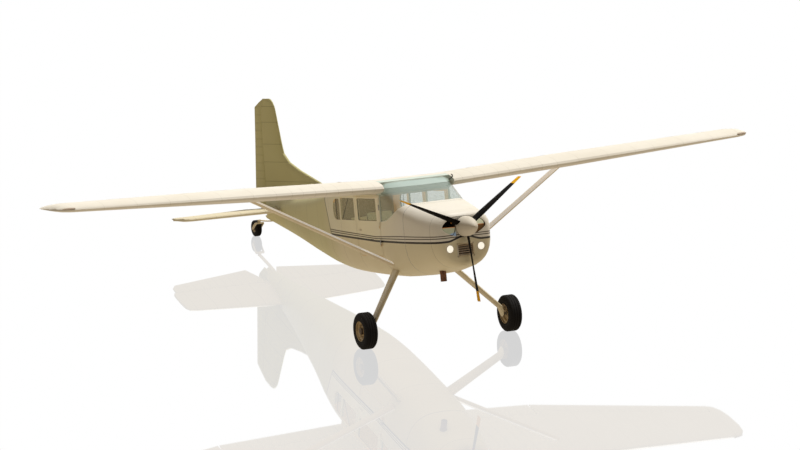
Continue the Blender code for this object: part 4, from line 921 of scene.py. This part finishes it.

# each sheet glows faintly as painted light inside the shaded inlets; the dark brown sheet also stands for
# their shade
inletSheets = {  # two corners of each sheet, its lean in its own plane and its finish
    "lowerBaffleRight": ((-0.345, 0.165, -0.150), (-0.100, 0.168, -0.004), 0.0, ductPaint),
    "baffleEdgeRight": ((-0.335, 0.155, -0.005), (-0.105, 0.168, 0.001), 1.5, glowingCopperSheet),
    "oilCoolerRight": ((-0.235, 0.156, -0.165), (-0.060, 0.162, -0.086), -12.8, coolerBlue),
    "upperBaffleRight": ((-0.180, 0.157, 0.062), (-0.095, 0.160, 0.140), -18.0, glowingCopperSheet),
    "upperBaffleLeft": ((0.100, 0.165, 0.004), (0.345, 0.168, 0.140), 0.0, paleDuct),
    "baffleEdgeLeft": ((0.105, 0.155, -0.002), (0.335, 0.168, 0.005), 1.5, glowingCopperSheet),
    "lowerBaffleLeft": ((0.100, 0.169, -0.150), (0.345, 0.172, -0.002), 0.0, brownSheet),
}
for name, (low, high, lean, look) in inletSheets.items():
    sheet = block(low, high, 0.001, 1, Matrix.Rotation(math.radians(lean), 4, "Y"))
    finishPiece(name, sheet, look)

low, high = levelBox("exhaust_pipe")
radius, reach = (high.x - low.x) / 2, high.z - low.z
bore, lip = radius - noseLook["pipeWall"], 0.002
pipe = turned(((0, 0), (radius, 0), (radius, reach - lip), (radius - lip, reach), (bore, reach),
               (bore, reach - noseLook["pipeBore"]), (0, reach - noseLook["pipeBore"])),
              ((low.x + high.x) / 2, (low.y + high.y) / 2, high.z), (0, 0, -1), 36)
finishPiece("exhaustStub", pipe, rust, stands=("exhaust_pipe",))
print("nose ready")


# rubber seals and metal retainers round the glass
sealLook = {"heart": (0.0, 1.9, 0.0), "pane": 0.0045, "screen": 0.006, "sides": 8}


def outerOutline(name, heart):  # ordered points round the outer face of a thin curved solid
    bm = levelMesh(name)
    outer = {face for face in bm.faces
             if face.normal.dot((face.calc_center_median() - heart).normalized()) > 0.35}
    rim = [edge for edge in bm.edges
           if sum(face in outer for face in edge.link_faces) == 1 and edge.calc_face_angle(0.0) > 0.8]
    links = {}
    for edge in rim:
        near, far = edge.verts
        links.setdefault(near, []).append(far)
        links.setdefault(far, []).append(near)
    walk = [rim[0].verts[0]]
    while True:
        ahead = [vert for vert in links[walk[-1]] if vert not in walk]
        if not ahead:
            break
        walk.append(ahead[0])
    points = [vert.co.copy() for vert in walk]
    bm.free()
    return points


def sealPiece(name, look, paint, key):
    points = outerOutline(name, Vector(look["heart"]))
    form = tube(points, look[key], look["sides"], closed=True)
    finishPiece(camel(name) + "Seal", form, paint, bodyOfNode[name], smooth=60.0)


for hand in ("left", "right"):
    for pane in panes:
        sealPiece(pane + hand, sealLook, darkRubber, "pane")
sealPiece("windscreen", sealLook, screenTrim, "screen")
print("seals ready")


# cockpit: glare shield, dials, radio stack, yokes and pedals
cockpitLook = {
    "seatAside": 0.245,
    "shieldLow": (-0.44, 1.062, 0.154),
    "shieldHigh": (0.44, 1.432, 0.184),
    "panelFace": 1.381,
    "dialRadius": 0.038,
    "dialRows": (0.085, -0.005),
    "dialColumns": (0.150, 0.245, 0.340),
    "centreDials": ((0.045, 0.085), (-0.045, 0.085)),
    "smallDials": ((-0.15, 0.09), (-0.23, 0.09), (-0.31, 0.09), (-0.15, 0.02), (-0.23, 0.02)),
    "ticks": 12,
    "dialSides": 28,
    "smallRadius": 0.026,
    "radioLow": (-0.085, 1.372, -0.110),
    "radioHigh": (0.085, 1.388, 0.030),
    "radioRows": 4,
    "radioKnobs": (0.030, 0.014),
    "knobRadius": 0.005,
    "yokeHigh": 0.005,
    "yokeFrom": 1.375,
    "yokeTo": 1.610,
    "yokeRadius": 0.125,
    "yokeSweep": (-210, 31, 15),
    "yokeTube": 0.011,
    "pedalAside": (-0.075, 0.075),
    "pedalAt": (1.160, -0.400),
    "pedalHalf": (0.04, 0.004, 0.05),
    "pedalLean": -25.0,
}


def dialForm(x, z, radius, look):
    place = Matrix.Translation((x, look["panelFace"] - 0.004, z))
    ring = ((0, 0), (radius, 0), (radius, 0.010), (radius - 0.002, 0.012), (radius - 0.006, 0.012),
            (radius - 0.007, 0.008))
    face = ((radius - 0.007, 0.008), (0, 0.008))
    forms = [tinted(turned(profile, place.translation, (0, 1, 0), look["dialSides"]), index)
             for index, profile in enumerate((ring, face))]
    tick, needle = (0.0009, 0.0092, 0.58, 0.74, 0.008), (0.0012, 0.0102, -0.12, 0.56, 0.009)
    marks = [(math.tau * index / look["ticks"], tick) for index in range(look["ticks"])]
    marks.append((math.radians(40 + 700 * x), needle))
    for angle, (half, front, near, far, back) in marks:
        mark = block((-half, back, radius * near), (half, front, radius * far), 0)
        bmesh.ops.transform(mark, matrix=place @ Matrix.Rotation(angle, 4, "Y"), verts=mark.verts)
        forms.append(tinted(mark, 2))
    return gather(*forms)


def radioPiece(look):
    low, high = look["radioLow"], look["radioHigh"]
    forms = [tinted(block(low, high, 0.002), 0)]
    for row in range(look["radioRows"]):
        height = low[2] + (high[2] - low[2]) * (row + 0.5) / look["radioRows"]
        forms.append(tinted(block((low[0] + 0.012, high[1] - 0.001, height - 0.010),
                                  (high[0] - 0.045, high[1] + 0.001, height + 0.010), 0.001), 1))
        for across in (high[0] - aside for aside in look["radioKnobs"]):
            knob = rod((across, high[1], height), (across, high[1] + 0.010, height), look["knobRadius"], 14,
                       0.001)
            forms.append(tinted(knob, 2))
    finishPiece("radioStack", gather(*forms), [panelBlack, darkSteel, chrome])


def yokePiece(hand, x, look):
    y, z, reach = look["yokeTo"], look["yokeHigh"], look["yokeRadius"]
    turns = [math.radians(angle) for angle in range(*look["yokeSweep"])]
    arc = [(x + reach * math.cos(turn), y, z + 0.03 + reach * math.sin(turn)) for turn in turns]
    forms = [tinted(rod((x, look["yokeFrom"], z), (x, y, z), look["yokeTube"]), 1),
             tinted(tube(arc, look["yokeTube"]), 0),
             tinted(block((x - 0.045, y - 0.014, z - 0.025), (x + 0.045, y + 0.012, z + 0.025), 0.008), 0),
             tinted(tube((arc[4], (x, y, z), arc[-5]), 0.009), 0)]
    finishPiece("controlYoke" + hand, gather(*forms), [panelBlack, chrome])


def pedalPiece(hand, x, look):
    y, z = look["pedalAt"]
    lean = Matrix.Rotation(math.radians(look["pedalLean"]), 4, "X")
    half = Vector(look["pedalHalf"])
    forms = []
    for aside in look["pedalAside"]:
        foot = Vector((x + aside, y, z))
        forms.append(block(foot - half, foot + half, 0.003, 2, lean))
        forms.append(rod(foot + Vector((0, -0.03, -0.094)), foot + Vector((0, 0, 0.01)), 0.007))
    finishPiece("rudderPedals" + hand, gather(*forms), steel)


def cockpitPieces(look):
    shield = block(look["shieldLow"], look["shieldHigh"], 0.012, 3)
    finishPiece("glareShield", shield, panelBlack)
    large = [(x, z) for x in look["dialColumns"] for z in look["dialRows"]] + list(look["centreDials"])
    forms = [dialForm(x, z, look["dialRadius"], look) for x, z in large]
    forms += [dialForm(x, z, look["smallRadius"], look) for x, z in look["smallDials"]]
    finishPiece("panelDials", gather(*forms), [darkSteel, panelBlack, dialWhite])
    radioPiece(look)
    for hand, x in (("Left", look["seatAside"]), ("Right", -look["seatAside"])):
        yokePiece(hand, x, look)
        pedalPiece(hand, x, look)


cockpitPieces(cockpitLook)
print("cockpit ready")


# seats: padded cushions and backs that swell a little, on tube frames or a bench box
seatLook = {
    "front": {"half": 0.215, "from": 1.93, "to": 2.36, "backTop": 0.22, "cushionTop": -0.20, "legs": True},
    "middle": {"half": 0.46, "from": 2.60, "to": 2.98, "backTop": 0.14, "cushionTop": -0.22, "legs": False},
    "rear": {"half": 0.44, "from": 3.18, "to": 3.46, "backTop": 0.08, "cushionTop": -0.24, "legs": False},
    "cushionDeep": 0.125,
    "backDeep": 0.075,
    "floor": -0.4985,
    "shrink": 0.008,
    "voxel": 0.012,
    "pressure": 4.0,
    "frames": 20,
    "cap": 0.008,
    "channelPitch": 0.086,
    "channelHalf": 0.010,
    "channelDepth": 0.007,
    "piping": 0.0055,
    "backLean": 0.10,
    "trimInset": 0.022,
    "trimOver": 0.004,
    "legRadius": 0.012,
    "postRadius": 0.011,
}


def settle(piece):  # a piece's modifiers become its mesh
    depth = bpy.context.evaluated_depsgraph_get()
    settled = bpy.data.meshes.new_from_object(piece.evaluated_get(depth))
    settled.name = piece.name
    piece.modifiers.clear()
    piece.data = settled


def sewChannels(piece, middle, look):  # furrows along the sitting surface, after the swelling
    bm = bmesh.new()
    bm.from_mesh(piece.data)
    for vert in bm.verts:
        away = (vert.co.x - middle) / look["channelPitch"]
        distance = abs(away - round(away)) * look["channelPitch"]
        if distance < look["channelHalf"] * 2:
            depth = look["channelDepth"] * math.exp(-(distance / (look["channelHalf"] * 0.6)) ** 2)
            vert.co -= vert.normal * depth
    bm.to_mesh(piece.data)
    bm.free()
    piece.data.shade_smooth()


def swollen(name, bm, middle, look):  # remeshed evenly, blown up a little as cloth, then sewn
    scene = bpy.context.scene
    piece = finishPiece(name, bm, [seatCloth, seatEdge])
    even = piece.modifiers.new("even", "REMESH")
    even.mode = "VOXEL"
    even.voxel_size = look["voxel"]
    settle(piece)
    start = [vert.co.copy() for vert in piece.data.vertices]
    cloth = piece.modifiers.new("cloth", "CLOTH")
    cloth.settings.quality = 5
    cloth.settings.use_pressure = True
    cloth.settings.uniform_pressure_force = look["pressure"]
    cloth.settings.effector_weights.gravity = 0.0
    cloth.point_cache.frame_start = 1
    cloth.point_cache.frame_end = look["frames"]
    for step in range(1, look["frames"] + 1):
        scene.frame_set(step)
    settle(piece)
    scene.frame_set(1)
    for vert, before in zip(piece.data.vertices, start):
        moved = vert.co - before
        if moved.length > look["cap"]:
            vert.co = before + moved * (look["cap"] / moved.length)
    finer = piece.modifiers.new("finer", "SUBSURF")
    finer.levels = 1
    finer.render_levels = 1
    settle(piece)
    sewChannels(piece, middle, look)
    return piece


def seatPieces(label, kind, middle, stands, look):
    size = look[kind]
    half, start, end, top = size["half"], size["from"], size["to"], size["cushionTop"]
    inset = look["shrink"]
    low = Vector((middle - half + inset, start + inset, top - look["cushionDeep"]))
    high = Vector((middle + half - inset, end - 0.03, top - inset))
    cushion = swollen("seatCushion" + label, block(low, high, 0.030, 4), middle, look)
    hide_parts(*stands)

    rise = size["backTop"] - top
    wide, tip = half - inset, rise + 0.02 - inset
    place = (Matrix.Translation((middle, end - 0.012, top - 0.005))
             @ Matrix.Rotation(-math.atan2(look["backLean"], rise), 4, "X"))
    back = block((-wide, 0.0, 0.0), (wide, look["backDeep"], tip), 0.028, 4)
    bmesh.ops.transform(back, matrix=place, verts=back.verts)
    rest = swollen("seatBack" + label, back, middle, look)

    edge, over = look["trimInset"], look["trimOver"]
    near, far, front, rear = low.x + edge, high.x - edge, low.y + edge, high.y - edge
    corners = ((near, low.y + over), (far, low.y + over), (high.x - over, front), (high.x - over, rear),
               (far, high.y - over), (near, high.y - over), (low.x + over, rear), (low.x + over, front))
    ring = [(x, y, high.z - edge) for x, y in corners]
    hoop = [(-wide + over, 0.05), (-wide + over, tip - 0.03), (-wide + 0.03, tip - over),
            (wide - 0.03, tip - over), (wide - over, tip - 0.03), (wide - over, 0.05)]
    trim = gather(tube(ring, look["piping"], 8, closed=True),
                  tube([place @ Vector((x, 0.018, height)) for x, height in hoop], look["piping"], 8))
    finishPiece("seatPiping" + label, trim, seatEdge)

    frame = []
    floor, deck = look["floor"], low.z - 0.004
    if size["legs"]:
        for x in (middle - 0.17, middle + 0.17):
            for y in (start + 0.05, end - 0.06):
                frame.append(rod((x, y, floor), (x, y, deck), look["legRadius"]))
            frame.append(block((x - 0.018, start, floor), (x + 0.018, end, floor + 0.012), 0.003))
        frame.append(block((middle - 0.195, start + 0.02, deck - 0.012),
                           (middle + 0.195, end - 0.04, deck), 0.004))
    else:
        frame.append(block((middle - half + 0.02, start + 0.03, floor),
                           (middle + half - 0.02, end - 0.03, deck), 0.008))
    aside = wide - 0.05
    posts = ((-aside, -0.10), (-aside, tip - 0.05), (aside, tip - 0.05), (aside, -0.10))
    bend = [place @ Vector((x, look["backDeep"] + 0.012, height)) for x, height in posts]
    frame.append(tube(bend, look["postRadius"], 10))
    finish, slot = (darkSteel, "bare_steel") if size["legs"] else (benchPaint, "cabin_lining")
    finishPiece("seatFrame" + label, gather(*frame), finish)


for label, kind, middle, stands in (
        ("FrontLeft", "front", 0.245, ("seat_front_left",)),
        ("FrontRight", "front", -0.245, ("seat_front_right",)),
        ("Middle", "middle", 0.0, ("seat_middle",)),
        ("Rear", "rear", 0.0, ("seat_rear",))):
    seatPieces(label, kind, middle, stands, seatLook)
print("seats ready")


# details: door handles, armrests, hinges, caps, fasteners, brake lines, tip lamps, vent pipe and rudder seal
detailLook = {
    "handleAt": (2.475, -0.035),
    "lockBelow": 0.07,
    "restAt": (2.20, -0.16),
    "restReach": (-0.18, 0.16),
    "restHalf": (0.030, 0.015),
    "hingeAt": 1.7335,
    "hingeHeights": (0.30, -0.20),
    "hingeHalf": 0.04,
    "hingeProud": 0.004,
    "hingeRadius": 0.007,
    "capAt": (1.02, 2.02),
    "capRadius": 0.038,
    "fastenerHeights": (0.16, 0.10, 0.04, -0.02, -0.08, -0.25, -0.32, -0.39),
    "fastenerStations": (0.285, 0.930),
    "brakeRadius": 0.006,
    "brakeLine": ((0.47, 1.645, -0.66), (0.70, 1.505, -0.93), (0.985, 1.350, -1.27)),
    "tipLampAt": (5.30, 0.5, 0.785),
    "tipLampStretch": (4.2, 1.0, 0.4),
    "tipLamp": ((0.0, -0.006), (0.022, -0.006), (0.022, 0.002), (0.018, 0.010), (0.010, 0.015), (0.0, 0.017)),
    "ventRadius": 0.009,
    "ventPipe": ((0.515, 1.600, 0.600), (0.540, 1.585, 0.612), (0.560, 1.575, 0.632), (0.562, 1.578, 0.655),
                 (0.550, 1.590, 0.668)),
    "rudderSeal": ((0.0, 7.2286, 0.085), (0.0, 7.2110, 0.467), (0.0, 7.1811, 1.206), (0.0, 7.1630, 1.640)),
    "sealRadius": 0.0028,
}


def seatedOn(solid, start, towards, form):  # a form drawn along +z from zero, set on a solid's skin
    place, facing = skinPoint(solid, start, towards)
    bmesh.ops.transform(form, matrix=Matrix.Translation(place) @ facingTurn(facing), verts=form.verts)
    return form


def doorPieces(label, side, look):
    door = "door_" + label.lower()
    inwards = (-side, 0, 0)
    y, z = look["handleAt"]
    plate = block((-0.050, -0.014, -0.001), (0.050, 0.014, 0.003), 0.001)
    knob = rod((0.03, 0, 0.002), (0.03, 0, 0.016), 0.006)
    lever = block((-0.060, -0.006, 0.012), (0.038, 0.006, 0.018), 0.002)
    handle = seatedOn(door, (side, y, z), inwards, gather(plate, knob, lever))
    lock = rod((0, 0, -0.001), (0, 0, 0.004), 0.010, 20, 0.001)
    lock = seatedOn(door, (side, y, z - look["lockBelow"]), inwards, lock)
    finishPiece("doorHandle" + label, gather(handle, lock), handlePaint, bodyOfNode[door])
    y, z = look["restAt"]
    inner = skinPoint(door, (0, y, z), (side, 0, 0))[0].x
    front, back = look["restReach"]
    wide, tall = look["restHalf"]
    rest = block((inner - wide, y + front, z - tall), (inner + wide, y + back, z + tall), 0.010, 3)
    finishPiece("doorArmrest" + label, rest, panelBlack, bodyOfNode[door])
    pins = []
    for height in look["hingeHeights"]:
        spot = skinPoint("cabin_shell", (side, look["hingeAt"], height), inwards)[0]
        across = spot.x + side * look["hingeProud"]
        foot, head = ((across, spot.y, height + look["hingeHalf"] * way) for way in (-1, 1))
        pins.append(rod(foot, head, look["hingeRadius"], 14, 0.002))
    finishPiece("doorHingeKnuckles" + label, gather(*pins), steel)


def wingAndNosePieces(label, side, look):
    wing = "wing_" + label.lower()
    x, y = look["capAt"]
    radius = look["capRadius"]
    profile = ((0, 0.003), (radius - 0.002, 0.003), (radius, 0.001), (radius, -0.003))
    cap = turned(profile, (0, 0, 0), (0, 0, 1), 36)
    tab = block((-0.022, -0.004, 0.002), (0.022, 0.004, 0.006), 0.001)
    cap = seatedOn(wing, (side * x, y, 2.0), (0, 0, -1), gather(cap, tab))
    finishPiece("fuelCap" + label, cap, spinnerPaint)
    screws = [seatedOn("cowl", (side, station, height), (-side, 0, 0),
                       rod((0, 0, -0.001), (0, 0, 0.0018), 0.008, 12, 0.0008))
              for station in look["fastenerStations"] for height in look["fastenerHeights"]]
    finishPiece("cowlFasteners" + label, gather(*screws), hullPaint)
    line = tube([(side * x, y, z) for x, y, z in look["brakeLine"]], look["brakeRadius"])
    finishPiece("brakeLine" + label, line, darkRubber)
    x, y, z = look["tipLampAt"]
    dome = turned(look["tipLamp"], (0, 0, 0), (0, 0, 1), 28)
    bmesh.ops.scale(dome, vec=look["tipLampStretch"], verts=dome.verts)
    dome = seatedOn(wing, (side * x, y, z), (0, 1, 0), dome)
    finishPiece("tipLamp" + label, dome, tipLampGlass)


def outsidePieces(look):
    for label, side in (("Left", 1), ("Right", -1)):
        doorPieces(label, side, look)
        wingAndNosePieces(label, side, look)
    finishPiece("rootVentPipe", tube(look["ventPipe"], look["ventRadius"]), darkSteel)
    # closes the slit ahead of the rudder's round nose
    finishPiece("rudderGapSeal", tube(look["rudderSeal"], look["sealRadius"]), finPaint)


outsidePieces(detailLook)
print("details ready")
